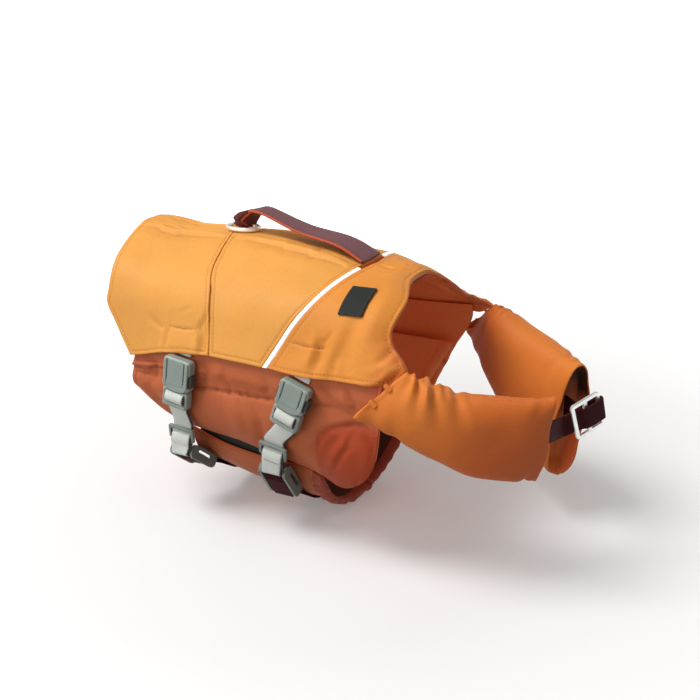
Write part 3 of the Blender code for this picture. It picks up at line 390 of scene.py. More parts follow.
def webbing_finish(name, colour, edge_colour, rib_mm=1.25, roughness=0.66, sheen=0.05, edge_mm=9.3,
                   specular=0.3):
    """Heavy webbing: ribs across, fine warp threads along, read from the strap's own map of millimetres."""
    finish, tree, shader = new_finish(name, roughness, specular=specular, sheen=sheen)
    strap_map = add_node(tree, "ShaderNodeUVMap", uv_map="strap_mm")
    axes = add_node(tree, "ShaderNodeSeparateXYZ")
    tree.links.new(strap_map.outputs[0], axes.inputs[0])
    rib, yarn = 2 * math.pi / rib_mm, 2 * math.pi / (rib_mm * 0.8)
    weave = woven(tree, ((axes.outputs["Y"], rib), (axes.outputs["X"], yarn)))
    slub = add_node(tree, "ShaderNodeTexNoise", {"Scale": 0.9, "Detail": 3.0, "Roughness": 0.6})
    tree.links.new(strap_map.outputs[0], slub.inputs["Vector"])
    total = add_node(tree, "ShaderNodeMath", {1: 0.25}, operation="MULTIPLY_ADD")
    tree.links.new(weave, total.inputs[0])
    tree.links.new(slub.outputs["Fac"], total.inputs[2])
    tones = ((0.2, shaded(colour, 0.72)), (0.5, colour), (0.8, shaded(colour, 1.15)))
    tone = colour_steps(tree, total.outputs[0], tones)
    far = add_node(tree, "ShaderNodeMath", operation="ABSOLUTE")
    tree.links.new(axes.outputs["X"], far.inputs[0])
    edge = add_node(tree, "ShaderNodeMapRange", {"From Min": edge_mm - 0.4, "From Max": edge_mm + 0.2})
    tree.links.new(far.outputs[0], edge.inputs["Value"])
    blend = add_node(tree, "ShaderNodeMix", {LAYER_B: (*edge_colour, 1.0)}, data_type="RGBA")
    tree.links.new(edge.outputs[0], blend.inputs["Factor"])
    tree.links.new(tone, blend.inputs[LAYER_A])
    tree.links.new(blend.outputs[MIXED], shader.inputs["Base Color"])
    with_bump(tree, shader, total.outputs[0], 0.6, 0.0004)
    return finish


MAROON, MAROON_EDGE = (0.054, 0.007, 0.010), (0.075, 0.014, 0.014)
# the grey webbing's dark edge colour is partly its selvedge and partly painted shade where its layers part
GREY_WEB, GREY_WEB_EDGE = (0.74, 0.765, 0.71), (0.20, 0.18, 0.18)
HANDLE_PURPLE, HANDLE_UNDER, TRIM_RED = (0.18, 0.064, 0.072), (0.13, 0.026, 0.028), (0.50, 0.085, 0.030)
maroon = webbing_finish("maroon_webbing", MAROON, MAROON_EDGE, roughness=0.78, sheen=0.0, specular=0.14)
handle_purple = webbing_finish("handle_webbing", HANDLE_PURPLE, HANDLE_PURPLE, rib_mm=1.6, sheen=0.12,
                               edge_mm=NO_EDGE_MM)
handle_under = webbing_finish("handle_under_webbing", HANDLE_UNDER, HANDLE_UNDER, rib_mm=1.6,
                              edge_mm=NO_EDGE_MM)
trim_red = cloth_finish("trim_red_cloth", TRIM_RED, roughness=0.5)
grey_web = webbing_finish("grey_webbing", GREY_WEB, GREY_WEB_EDGE)
print("webbing finishes:", [finish.name for finish in bpy.data.materials if "webbing" in finish.name])

# %% [markdown]
# Buckles, slides and rings are moulded in acetal, which has a fine grain and turns a little lighter where
# hands rub its edges; its hollows take painted shade. Metal and thread take the same finish with other
# values. The reflective tape throws light back to where it comes from, which no ordinary shader does, so
# it gets a little light of its own.

# %% Finishes for the hard pieces
# lighter on edges where hands rub them, and darker in hollows as painted shade, over Pointiness
RUB_AND_SHADE_STEPS = ((0.45, (0.75, 0.75, 0.75)), (0.5, WHITE), (0.6, (1.3, 1.3, 1.3)))


def moulded_finish(name, colour, roughness, metallic=0.0, grain=900.0, coat=0.0):
    """Moulded plastic or metal: fine grain, slightly lighter where hands rub the edges, painted shade in
    hollows.
    """
    finish, tree, shader = new_finish(name, roughness, metallic, coat=coat)
    place = add_node(tree, "ShaderNodeTexCoord").outputs["Object"]
    cloud = add_node(tree, "ShaderNodeTexNoise", {"Scale": grain, "Detail": 2.0})
    patch = add_node(tree, "ShaderNodeTexNoise", {"Scale": 60.0, "Detail": 3.0})
    for texture in (cloud, patch):
        tree.links.new(place, texture.inputs["Vector"])
    patches = ((0.3, shaded(colour, 0.92)), (0.7, shaded(colour, 1.06)))
    tone = colour_steps(tree, patch.outputs["Fac"], patches)
    bend = add_node(tree, "ShaderNodeNewGeometry").outputs["Pointiness"]
    rubbed_and_shaded = multiplied(tree, tone, colour_steps(tree, bend, RUB_AND_SHADE_STEPS))
    tree.links.new(rubbed_and_shaded, shader.inputs["Base Color"])
    rough = add_node(tree, "ShaderNodeMapRange", {"To Min": roughness - 0.05, "To Max": roughness + 0.1})
    tree.links.new(patch.outputs["Fac"], rough.inputs["Value"])
    tree.links.new(rough.outputs[0], shader.inputs["Roughness"])
    with_bump(tree, shader, cloud.outputs["Fac"], 0.12, 0.0001)
    return finish


buckle_plastic = moulded_finish("buckle_plastic", (0.235, 0.280, 0.248), 0.40)
ring_plastic = moulded_finish("ring_plastic", (0.13, 0.155, 0.14), 0.38)
slide_plastic = moulded_finish("slide_plastic", (0.165, 0.20, 0.175), 0.38)
# dark plastic of the prongs, also used for lines of painted shade
prong_and_shade_plastic = moulded_finish("prong_and_shade_plastic", (0.105, 0.125, 0.112), 0.40)
# near-black plastic for painted shade in the slots and along the split
shade_black_plastic = moulded_finish("shade_black_plastic", (0.035, 0.042, 0.038), 0.6)
satin_metal = moulded_finish("satin_metal", (0.76, 0.78, 0.75), 0.33, metallic=0.85)
cream_metal = moulded_finish("cream_metal", (0.90, 0.88, 0.80), 0.30, metallic=0.55)
REFLECTED, REFLECTED_SHARE = (1.0, 0.99, 0.97, 1.0), 0.36
reflective = moulded_finish("reflective_tape", (0.93, 0.94, 0.95), 0.38, grain=2600.0)
shader = reflective.node_tree.nodes["Principled BSDF"]
shader.inputs["Emission Color"].default_value = REFLECTED
shader.inputs["Emission Strength"].default_value = REFLECTED_SHARE
THREAD_COLOURS = {
    # dark thread for the grey webbing's edge loops, partly selvedge and partly painted shade
    "dark": (0.030, 0.024, 0.028),
    "orange": (0.78, 0.30, 0.05),
    "brown": (0.30, 0.105, 0.035),
    "pillow": (0.58, 0.16, 0.028),
    "rust": (0.42, 0.085, 0.028),
    "maroon": (0.16, 0.055, 0.07),
    "label": (0.045, 0.05, 0.045),
}
SMOOTH_THREADS = ("maroon", "label")
threads = {use: moulded_finish(use + "_thread", colour, 0.6 if use in SMOOTH_THREADS else 0.7)
           for use, colour in THREAD_COLOURS.items()}
print("finishes in all:", len(bpy.data.materials))

# %% [markdown]
# ## How a panel is grown from its solid
#
# A panel of the jacket is cloth sewn round thin foam. Its solid has the right cut but wide flat facets. A
# subdivided copy gives it enough points to hold folds, with the sewn edges kept firm by a crease value.
# Folds are then pressed in one by one: each is a line over the cloth with a width and a depth, deepest in
# its middle and fading out at both ends, as folds in stiff cloth do.

# %% A fine copy of a solid
# points closer than this are one point (m)
MERGE_M = 2e-6
# how flat (radians) and how skewed two triangles may be to become one quad
QUAD_BEND, QUAD_SKEW = 0.7, 1.2
BORDER_STEP_MM = 1.5


def fine_copy(node, levels, firmness=0.55, sharp_deg=48.0):
    """Points (mm), faces and border points of a subdivided copy of a solid."""
    shape = bmesh.new()
    shape.from_mesh(solids[node].data)
    bmesh.ops.remove_doubles(shape, verts=shape.verts[:], dist=MERGE_M)
    bmesh.ops.join_triangles(shape, faces=shape.faces[:], angle_face_threshold=QUAD_BEND,
                             angle_shape_threshold=QUAD_SKEW)
    crease = shape.edges.layers.float.new("crease_edge")
    border = []
    for edge in shape.edges:
        if edge.calc_face_angle(0.0) > math.radians(sharp_deg):
            edge[crease] = firmness
            ends = [vert.co / MM for vert in edge.verts]
            steps = max(1, int((ends[1] - ends[0]).length / BORDER_STEP_MM))
            border += [ends[0].lerp(ends[1], step / steps) for step in range(steps + 1)]
    mesh = bpy.data.meshes.new("fine_copy")
    shape.to_mesh(mesh)
    shape.free()
    holder = bpy.data.objects.new("fine_copy", mesh)
    bpy.context.scene.collection.objects.link(holder)
    finer = holder.modifiers.new("finer", "SUBSURF")
    finer.levels = finer.render_levels = levels
    result = holder.evaluated_get(bpy.context.evaluated_depsgraph_get()).data
    points = np.zeros(len(result.vertices) * 3)
    result.vertices.foreach_get("co", points)
    faces = [tuple(polygon.vertices) for polygon in result.polygons]
    bpy.data.objects.remove(holder)
    return points.reshape(-1, 3) / MM, faces, np.array(border)


def four_corners(faces):
    """The corners of each face, with the last one of a triangle taken twice."""
    return np.array([face if len(face) == 4 else (*face, face[-1]) for face in faces])


def unit(vectors):
    """Vectors made one long."""
    return vectors / np.maximum(np.linalg.norm(vectors, axis=-1, keepdims=True), 1e-9)


def ramp(values, start, end):
    """0 up to the start, 1 from the end on, and even steps between."""
    return np.clip((values - start) / (end - start), 0.0, 1.0)


def bell(values, width):
    """1 in the middle, fading to both sides over a width."""
    return np.exp(-(values / width) ** 2)


def point_normals(points, faces):
    """Outward unit normals of the points of a closed mesh."""
    corners = four_corners(faces)
    one_way = points[corners[:, 2]] - points[corners[:, 0]]
    other_way = points[corners[:, 3]] - points[corners[:, 1]]
    across = np.cross(one_way, other_way)
    normals = np.zeros_like(points)
    for index in range(4):
        np.add.at(normals, corners[:, index], across)
    return unit(normals)


# height of the body's middle line (mm)
AXIS_Z = -95.0


def outwards(points):
    """Unit directions away from the middle line of the body, for points in mm."""
    return unit(points * (0.0, 1.0, 1.0) - (0.0, 0.0, AXIS_Z))


# %% [markdown]
# Folds, stitches and straps all follow lines, so the next helpers work on lines of points. A smooth line
# through a few places comes from the usual spline that passes through its own points. A fold then only
# asks each point of the cloth how far it is from that line, which share of the line it is beside, and on
# which side.

# %% Lines over the cloth
def through_points(a, b, c, d, t):
    """A smooth curve between b and c, a share t of the way, with a and d as the neighbours."""
    bend = (2 * a - 5 * b + 4 * c - d) * t ** 2
    return 0.5 * (2 * b + (c - a) * t + bend + (3 * b - a - 3 * c + d) * t ** 3)


def even_rows(rows, spacing):
    """Rows of numbers resampled evenly along the path in their first three columns, and each one's place."""
    rows = np.array(rows, float)
    steps = np.linalg.norm(np.diff(rows[:, :3], axis=0), axis=1)
    place = np.concatenate([[0.0], np.cumsum(steps)])
    wanted = np.linspace(0.0, place[-1], max(2, int(round(place[-1] / spacing)) + 1))
    padded = np.vstack([2 * rows[0] - rows[1], rows, 2 * rows[-1] - rows[-2]])
    index = np.clip(np.searchsorted(place, wanted, side="right") - 1, 0, len(rows) - 2)
    t = ((wanted - place[index]) / np.maximum(steps[index], 1e-9))[:, None]
    return through_points(*(padded[index + k] for k in range(4)), t), wanted


def distance_to_line(points, line):
    """For each point: distance to a line, share along it, way from it, and the line's direction there."""
    line = np.array(line, float)
    lengths = np.linalg.norm(np.diff(line, axis=0), axis=1)
    start = np.concatenate([[0.0], np.cumsum(lengths)])
    best = np.full(len(points), 1e9)
    share = np.zeros(len(points))
    offset = np.zeros_like(points)
    along = np.zeros_like(points)
    for index in range(len(line) - 1):
        step = line[index + 1] - line[index]
        place = np.clip((points - line[index]) @ step / (step @ step), 0.0, 1.0)
        away = points - line[index] - place[:, None] * step
        distance = np.linalg.norm(away, axis=1)
        nearer = distance < best
        best[nearer] = distance[nearer]
        share[nearer] = (start[index] + place[nearer] * lengths[index]) / start[-1]
        offset[nearer] = away[nearer]
        along[nearer] = step / np.linalg.norm(step)
    return best, share, offset, along


LAID_STEP_MM = 4.0


def out_from(line):
    """The way out from the body at the middle of a line."""
    return outwards(np.array([line[len(line) // 2]], float))[0]


def lay_on(cloth, normals, line, facing):
    """A line drawn through a few places, laid on the nearest points of the cloth that face the given way."""
    chosen = np.nonzero(normals @ facing > 0.15)[0]
    tree = KDTree(len(chosen))
    for index in chosen:
        tree.insert(cloth[index], index)
    tree.balance()
    rows, _ = even_rows(np.array(line, float), LAID_STEP_MM)
    return np.array([tree.find(row)[0] for row in rows])


# in widths of the fold: how far it reaches, and where its lip lies
FOLD_REACH, LIP_PLACE = 3.2, 1.5


def press_fold(cloth, normals, line, width, depth, lip=0.5, inner=False):
    """Press a trough (depth below 0) or raise a ridge (above 0) along a line, with a lip on one side."""
    facing = out_from(line) * (-1.0 if inner else 1.0)
    laid = lay_on(cloth, normals, line, facing)
    distance, share, offset, along = distance_to_line(cloth, laid)
    near = (distance < width * FOLD_REACH) & (normals @ facing > 0.1)
    side = np.sign(np.einsum("ij,ij->i", np.cross(along, normals), offset))
    fade = np.sin(np.pi * np.clip(share, 0.03, 0.97)) ** 0.6
    signed = side * distance / width
    profile = bell(signed, 1.0) - lip * bell(signed - LIP_PLACE, 1.0)
    cloth[near] += (normals * (depth * profile * fade)[:, None])[near]


# %% [markdown]
# Straps, pillows and the handle are tubes: the same ring of corners again and again along a path. Their
# solids could be subdivided too, but a spline through the rings is smoother and knows how far along the
# strap it is, which the ribs of the webbing need. So the rings are read back out of the solid, from one
# flat end to the other.

# %% Read a solid as rings
FLAT_COSINE = 0.9995


def rings_of(node):
    """The solid's cross-sections in order, as an array of stations x points x 3 (mm)."""
    shape = bmesh.new()
    shape.from_mesh(solids[node].data)
    bmesh.ops.remove_doubles(shape, verts=shape.verts[:], dist=MERGE_M)
    shape.verts.ensure_lookup_table()
    shape.faces.ensure_lookup_table()
    neighbours = [[edge.other_vert(vert).index for edge in vert.link_edges] for vert in shape.verts]
    seen_faces = set()
    answer = None
    for first in shape.faces:
        if first.index in seen_faces or answer:
            continue
        flat, queue = {first.index}, [first]
        while queue:
            for edge in queue.pop().edges:
                for face in edge.link_faces:
                    if face.index not in flat and face.normal.dot(first.normal) > FLAT_COSINE:
                        flat.add(face.index)
                        queue.append(face)
        seen_faces |= flat
        level = {vert.index for index in flat for vert in shape.faces[index].verts}
        levels, used = [level], set(level)
        while True:
            level = {other for index in levels[-1] for other in neighbours[index]} - used
            if len(level) != len(levels[0]):
                break
            levels.append(level)
            used |= level
        if len(used) == len(shape.verts) and not level:
            answer = levels
    places = np.array([vert.co for vert in shape.verts]) / MM

    def closest(choices, aim):
        return min(choices, key=lambda index: np.linalg.norm(places[index] - aim))

    rings, previous = [], None
    for level in answer or []:
        order = [min(level) if previous is None else closest(level, previous[0])]
        while len(order) < len(level):
            aim = places[order[-1]] if previous is None else previous[len(order)]
            choices = [index for index in neighbours[order[-1]] if index in level and index not in order]
            order.append(closest(choices or [index for index in level if index not in order], aim))
        previous = places[order]
        rings.append(previous)
    shape.free()
    return np.array(rings)


# %% Let a piece stand for its solid
def stand_in(thing, node, finishes):
    """Let a piece stand for its solid, ride with it and take its finish."""
    for finish in finishes:
        thing.data.materials.append(finish)
    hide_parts(node)
    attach(thing, "root")
    print(thing.name, "for", node, "with", len(thing.data.polygons), "faces")
    return thing


# %% [markdown]
# ## The foam panels
#
# Each panel is two layers of cloth with foam between them. The foam fills out the middle of a panel and
# the sewn edges stay thin, so folds start at the edges and at the ridge along each side of the spine. A
# cloth simulation could make such folds, but it wouldn't put them where this jacket has them, so they are
# listed here.

# %% Shell, flank and belly panels
def slow_waves(points, scale_mm, seed):
    """Smooth pseudo-random heights between about -1 and 1."""
    shift = Vector((seed * 7.3, seed * 3.1, seed * 1.7))
    return np.array([noise.noise(Vector(point) / scale_mm + shift) for point in points])


PANELS = (
    # solid, piece, outer finish, slot, fill
    ("shell_rear", "rear_back_panel", light_orange, "orange_light", 0.35),
    ("shell_middle", "middle_back_panel", light_orange, "orange_light", 0.35),
    ("shell_front", "shoulder_panel", shaded_orange, "orange_deep", 0.3),
    ("flank_right", "right_flank_panel", rust, "rust", 0.5),
    ("flank_left", "left_flank_panel", rust, "rust", 0.5),
    ("belly_panel", "belly_pad", belly_rust, "rust", 0.4),
)
print("panels:", [piece for _, piece, *_ in PANELS])

# %% Table of folds
FOLDS = (
    # solid, places the fold runs through (mm), width, depth, lip, and 1 where it is on the lining
    # the gathered ridge beside the spine
    ("shell_rear", ((-146, -20, 10), (-131, -17, 9), (-116, -18, 6), (-93, -16, 6), (-66, -17, 7),
                    (-44, -18, 7)), 2.8, 2.4, 0.8),
    ("shell_rear", ((-140, -27, 6), (-118, -26, 4), (-90, -25, 4), (-64, -26, 4)), 4.0, -1.3, 0.2),
    ("shell_rear", ((-136, -5, 10), (-121, -2, 8), (-103, -6, 7)), 3.0, -1.6, 0.6),
    ("shell_rear", ((-125, 5, 9), (-102, 4, 7), (-79, 1, 8)), 3.5, -1.3, 0.6),
    ("shell_rear", ((-144, -13, 10), (-129, -12, 8), (-114, -9, 7)), 2.4, -1.4, 0.6),
    ("shell_rear", ((-98, -12, 7), (-84, -10, 7), (-70, -11, 8)), 2.2, -1.1, 0.6),
    ("shell_middle", ((-38, -18, 8), (-19, -17, 8), (5, -19, 7), (36, -22, 4), (64, -25, 1),
                      (86, -27, -1)), 2.8, 2.5, 0.8),
    ("shell_middle", ((-30, -26, 4), (0, -27, 4), (34, -30, 1), (60, -33, -2)), 4.0, -1.2, 0.2),
    ("shell_middle", ((11, -11, 8), (38, -13, 5), (65, -17, 2)), 2.4, -2.1, 0.8),
    ("shell_middle", ((-26, 2, 9), (1, -2, 8), (28, -5, 6)), 3.0, -1.1, 0.6),
    ("shell_middle", ((40, -18, 4), (56, -17, 3), (74, -20, 1)), 2.0, -1.8, 0.8),
    # slack over the flat of the back panels
    ("shell_rear", ((-118, -48, -2), (-104, -70, -14), (-99, -92, -38)), 15.0, -1.4, 0.2),
    ("shell_middle", ((-28, -50, -4), (-14, -80, -24), (-6, -98, -55)), 14.0, -1.2, 0.2),
    ("shell_middle", ((40, -60, -12), (36, -84, -30), (26, -100, -58)), 16.0, -1.0, 0.2),
    # the pockets over the buckle tabs
    ("shell_rear", ((-46, -97, -58), (-46, -101, -66), (-46, -105, -78)), 11.0, 1.5, 0.0),
    ("shell_rear", ((-62, -98, -56), (-63, -102, -66), (-64, -106, -80)), 2.8, -1.3, 0.5),
    ("shell_rear", ((-29, -97, -53), (-25, -100, -62), (-23, -106, -77)), 3.6, -2.0, 0.5),
    ("shell_rear", ((-86, -95, -54), (-74, -98, -58), (-63, -99, -61)), 3.0, -1.0, 0.5),
    ("shell_rear", ((-25, -92, -40), (-26, -96, -49), (-29, -98, -56)), 2.6, -1.1, 0.5),
    ("shell_rear", ((-62, -98, -57), (-46, -98, -58), (-30, -98, -55)), 1.6, -1.0, 0.3),
    ("shell_front", ((78, -98, -54), (78, -102, -62), (78, -107, -73)), 9.0, 1.3, 0.0),
    ("shell_front", ((62, -98, -51), (79, -98, -53), (94, -98, -51)), 1.6, -1.1, 0.3),
    ("shell_front", ((91, -94, -42), (89, -100, -55), (89, -109, -70)), 4.2, -2.4, 0.6),
    ("shell_front", ((99, -90, -38), (94, -95, -47), (92, -99, -53)), 2.6, -1.0, 0.5),
    # the shoulder
    ("shell_front", ((108, -97, -48), (106, -104, -61), (105, -109, -72)), 4.0, -1.5, 0.5),
    ("shell_front", ((120, -82, -26), (115, -92, -38), (115, -101, -54), (117, -107, -69)), 7.0, -1.5, 0.5),
    ("shell_front", ((132, -60, -11), (130, -80, -22), (127, -94, -40), (129, -104, -60)), 8.0, 1.4, 0.3),
    ("shell_front", ((100, -3, -1), (112, -8, -2), (124, -3, -3)), 2.2, 1.3, 0.7),
    ("shell_front", ((108, -24, -3), (118, -16, -2), (128, -6, -3)), 2.4, -1.3, 0.6),
    ("shell_front", ((116, 4, -2), (122, 12, -2), (124, 26, -4)), 2.4, -1.1, 0.6),
    ("shell_front", ((134, -106, -72), (145, -108, -68), (153, -105, -60), (160, -102, -54)), 3.4, 2.0, 0.7),
    ("shell_front", ((140, -100, -58), (148, -97, -50), (152, -92, -42)), 3.6, -1.4, 0.5),
    # the flank: sewn channel, slack between its rows, the lobe at its front
    ("flank_right", ((-100, -101, -107), (-62, -102, -106), (-28, -103, -108), (-2, -103, -107),
                     (45, -103, -105), (84, -105, -100), (112, -105, -98)), 2.2, -1.8, 0.0),
    ("flank_right", ((-95, -98, -88), (-78, -103, -96), (-84, -102, -110)), 5.0, -2.3, 0.5),
    ("flank_right", ((-88, -98, -112), (-80, -96, -126), (-64, -96, -142)), 6.0, -1.8, 0.5),
    ("flank_right", ((-27, -103, -82), (-21, -104, -94), (-28, -103, -107)), 4.0, -1.5, 0.5),
    ("flank_right", ((2, -104, -84), (-2, -105, -95), (4, -103, -106)), 5.0, -1.2, 0.5),
    ("flank_right", ((-2, -103, -109), (9, -106, -124), (11, -103, -146)), 8.0, 1.6, 0.4),
    ("flank_right", ((24, -103, -107), (34, -106, -126), (33, -100, -154)), 5.5, -1.7, 0.5),
    ("flank_right", ((36, -104, -84), (42, -105, -94), (38, -103, -104)), 4.0, -1.3, 0.5),
    ("flank_right", ((91, -104, -76), (100, -107, -88), (108, -106, -98)), 4.0, -1.8, 0.5),
    ("flank_right", ((116, -105, -78), (124, -108, -89), (128, -106, -101)), 4.0, -2.0, 0.5),
    ("flank_right", ((88, -107, -130), (95, -109, -122), (106, -108, -115), (117, -107, -111),
                     (128, -107, -108), (146, -107, -112)), 3.0, -3.0, 0.0),
    ("flank_right", ((97, -109, -122), (89, -106, -136), (86, -103, -148), (87, -98, -160)), 3.4, -1.9, 0.0),
    ("flank_right", ((124, -107, -112), (110, -109, -124), (99, -107, -141)), 4.0, -1.1, 0.4),
    ("flank_right", ((128, -107, -110), (118, -110, -134), (104, -106, -158)), 3.0, -1.3, 0.7),
    ("flank_right", ((134, -107, -113), (141, -109, -122), (147, -108, -133)), 3.0, -1.0, 0.5),
    ("flank_right", ((130, -110, -122), (138, -111, -136), (139, -109, -148)), 7.0, 1.2, 0.3),
    # the lining of the far shoulder, seen through the neck
    ("shell_front", ((143, 40, -18), (134, 52, -24), (128, 60, -30), (118, 64, -32)), 2.4, -2.8, 0.9, 1),
    ("shell_front", ((128, 60, -30), (134, 68, -36), (141, 77, -47)), 2.6, -2.4, 0.9, 1),
    ("shell_front", ((104, 84, -45), (116, 85, -46), (128, 87, -49)), 3.0, -2.2, 0.8, 1),
    ("shell_front", ((112, 92, -54), (124, 97, -58), (136, 95, -57)), 2.8, -1.9, 0.8, 1),
    ("flank_left", ((104, 103, -112), (112, 104, -122), (118, 103, -134)), 3.2, -2.2, 0.8, 1),
    # the belly pad
    ("belly_panel", ((-40, -75, -196), (-28, -40, -220), (-30, 10, -226), (-34, 60, -205)), 8.0, -1.6, 0.4),
    ("belly_panel", ((12, -80, -200), (14, -36, -224), (8, 20, -230), (12, 66, -208)), 9.0, -1.4, 0.4),
    ("belly_panel", ((60, -78, -204), (66, -30, -228), (62, 24, -232), (66, 70, -206)), 7.0, -1.5, 0.4),
)
UNSEEN_SHIFT_MM, UNSEEN_SHARE = 5.0, 0.85
# folds that start nearer the spine than this have no twin on the other side
SPINE_BAND_MM = 14


def other_side(line, shift):
    """The same fold on the left of the jacket, moved a little, as no two sides crease alike."""
    return [(x + shift, -y, z) for x, y, z in line]


folds_of = {}
for index, (solid, line, width, depth, lip, *inner) in enumerate(FOLDS):
    folds_of.setdefault(solid, []).append((line, width, depth, lip, bool(inner)))
    if solid != "belly_panel" and not inner and abs(line[0][1]) > SPINE_BAND_MM:
        moved = other_side(line, UNSEEN_SHIFT_MM * math.sin(2.4 * index))
        twin = solid.replace("right", "left")
        folds_of.setdefault(twin, []).append((moved, width, depth * UNSEEN_SHARE, lip, False))
print("folds:", {solid: len(rows) for solid, rows in folds_of.items()})

# %% [markdown]
# The shoulder panel's front edge isn't sewn flat. The cloth is turned in over the foam there, so a band
# of it rolls towards the neck and falls into shade, which is also painted onto that band. Short puckers
# pinch the sewn channels of the flanks and the seam between the two back sections.

# %% Rolled collar edge and sewn puckers
ROLL_BAND_MM, ROLL_DEPTH_MM = 17.0, 5.0
SECTOR_DEG = 5.0


def front_rim(border):
    """The foremost border points of a panel, one for each sector round the body."""
    angle = np.degrees(np.arctan2(border[:, 1], border[:, 2] - AXIS_Z))
    sector = np.round(angle / SECTOR_DEG).astype(int)
    shares = [border[sector == one] for one in np.unique(sector)]
    return np.array([share[np.argmax(share[:, 0])] for share in shares])


def roll_in(cloth, rim_mm):
    """Turn the band beside the rim in towards the middle of the body."""
    depth = ROLL_DEPTH_MM * ramp(rim_mm, ROLL_BAND_MM, 0.0) ** 1.6
    cloth -= outwards(cloth) * depth[:, None]


CHANNEL = ((-98, -101, -107), (-28, -103, -108), (45, -103, -105), (84, -105, -100))
LEFT_CHANNEL = ((-98, 101, -107), (-28, 103, -108), (45, 103, -105), (104, 105, -100))
REAR_SEAM = ((-60, -40, 0), (-52, -80, -22), (-46, -98, -52))
PUCKER_LINES = (
    # solid, line of stitches, spacing, length, depth (mm)
    ("flank_right", CHANNEL, 11.0, 8.0, 0.9),
    ("flank_left", LEFT_CHANNEL, 11.0, 8.0, 0.9),
    ("shell_rear", REAR_SEAM, 13.0, 7.0, 0.45),
    ("shell_rear", other_side(REAR_SEAM, 0), 13.0, 7.0, 0.45),
)


def pucker(cloth, normals, line, spacing, length, depth, seed):
    """Short uneven troughs across a line of stitches."""
    rows, _ = even_rows(np.array(line, float), spacing)
    for index in range(1, len(rows) - 1):
        wobble = math.sin(5.1 * index + seed)
        along = unit(rows[index + 1] - rows[index - 1])
        across = np.cross(along, outwards(rows[index]))
        middle = rows[index] + along * wobble * spacing * 0.25
        reach = length * (0.75 + 0.35 * math.sin(3.7 * index + seed))
        lean = along * wobble * 2.5
        ends = [middle - across * reach - lean, middle, middle + across * reach + lean]
        press_fold(cloth, normals, ends, 2.0 + 0.5 * wobble, -depth * (1.0 + 0.4 * wobble), 0.3)


# %% [markdown]
# Two things tell the eye that a panel is sewn: a shallow groove a few millimetres inside its edge, and a
# row of stitches in that groove. Both follow the same contour, the line of points that lie one fixed
# distance from the edge, so the row turns every corner just as a sewing machine's guide would.

# %% Contours and stitches
def nearest_in(points):
    """A lookup of the nearest of some points."""
    tree = KDTree(len(points))
    for index, point in enumerate(points):
        tree.insert(point, index)
    tree.balance()
    return tree


def distance_to(border, points):
    """How far each point is from the nearest border point."""
    tree = nearest_in(border)
    return np.array([tree.find(point)[2] for point in points])


# in points: shorter runs are dropped, and longer ones keep every second point
SHORTEST_RUN, LONG_RUN = 10, 40


def contour(cloth, faces, field, level, wanted):
    """Runs of points where a field over the cloth crosses a level, through the faces that are wanted."""
    corners = four_corners(faces)
    low, high = field[corners].min(axis=1), field[corners].max(axis=1)
    links, spots = {}, {}
    for index in np.nonzero(wanted & (low < level) & (high > level))[0]:
        face = faces[index]
        hits = []
        for a, b in zip(face, face[1:] + face[:1]):
            if (field[a] - level) * (field[b] - level) < 0.0:
                key = (min(a, b), max(a, b))
                spots[key] = cloth[a] + (cloth[b] - cloth[a]) * (level - field[a]) / (field[b] - field[a])
                hits.append(key)
        if len(hits) == 2:
            links.setdefault(hits[0], []).append(hits[1])
            links.setdefault(hits[1], []).append(hits[0])
    runs, seen = [], set()
    for start in [key for key in links if len(links[key]) == 1] + list(links):
        if start in seen:
            continue
        run = [start]
        seen.add(start)
        while True:
            following = [key for key in links[run[-1]] if key not in seen]
            if not following:
                break
            run.append(following[0])
            seen.add(following[0])
        if len(run) > SHORTEST_RUN:
            run = np.array([spots[key] for key in run])
            runs.append(run[::2] if len(run) > LONG_RUN else run)
    return runs


STITCH_MM, STITCH_GAP_MM, THREAD_MM, THREAD_SIDES = 2.5, 1.0, 0.24, 5
# along a stitch: share of its length, share of its girth, rise (mm)
BEAD = ((0.0, 0.35, -0.12), (0.2, 0.9, 0.03), (0.5, 1.0, 0.08), (0.8, 0.9, 0.03), (1.0, 0.35, -0.12))
RUN_STEP_MM, FIRST_STITCH_MM, STITCH_LIFT_MM = 0.8, 1.0, 0.05


def tube_faces(stations, around, first=0):
    """Faces of a closed tube of rings with both ends capped; first is the number of its first point."""
    faces = []
    for ring in range(first, first + (stations - 1) * around, around):
        for side in range(around):
            after = (side + 1) % around
            faces.append((ring + side, ring + after, ring + around + after, ring + around + side))
    faces.append(tuple(first + side for side in reversed(range(around))))
    faces.append(tuple(first + (stations - 1) * around + side for side in range(around)))
    return faces


def sew(piece, runs, cloth, normals, finish, girth_mm=THREAD_MM, stitch_mm=STITCH_MM,
        gap_mm=STITCH_GAP_MM):
    """Rows of rounded stitches along runs of points, standing a hair above the cloth."""
    tree = nearest_in(cloth)
    pitch = stitch_mm + gap_mm
    turns = [2 * math.pi * side / THREAD_SIDES for side in range(THREAD_SIDES)]
    points, faces = [], []
    for run in runs:
        rows, place = even_rows(run, RUN_STEP_MM)
        for start in np.arange(FIRST_STITCH_MM, place[-1] - pitch, pitch):
            a, b = (np.array([np.interp(at, place, rows[:, axis]) for axis in range(3)])
                    for at in (start, start + stitch_mm))
            _, nearest, _ = tree.find((a + b) / 2)
            up = normals[nearest]
            lift = [up @ (cloth[tree.find(end)[1]] - end) for end in (a, b)]
            a, b = a + up * lift[0], b + up * lift[1]
            across = np.cross(up, unit(b - a))
            faces += tube_faces(len(BEAD), THREAD_SIDES, len(points))
            for share, girth, rise in BEAD:
                centre = a + (b - a) * share + up * (rise + STITCH_LIFT_MM)
                radius = girth_mm * girth
                points += [centre + (across * math.cos(turn) + up * math.sin(turn)) * radius
                           for turn in turns]
    thing = link_mesh(piece, np.array(points) * MM, faces)
    thing.data.materials.append(finish)
    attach(thing, "root")
    print(piece, "stitches:", len(points) // (THREAD_SIDES * len(BEAD)))
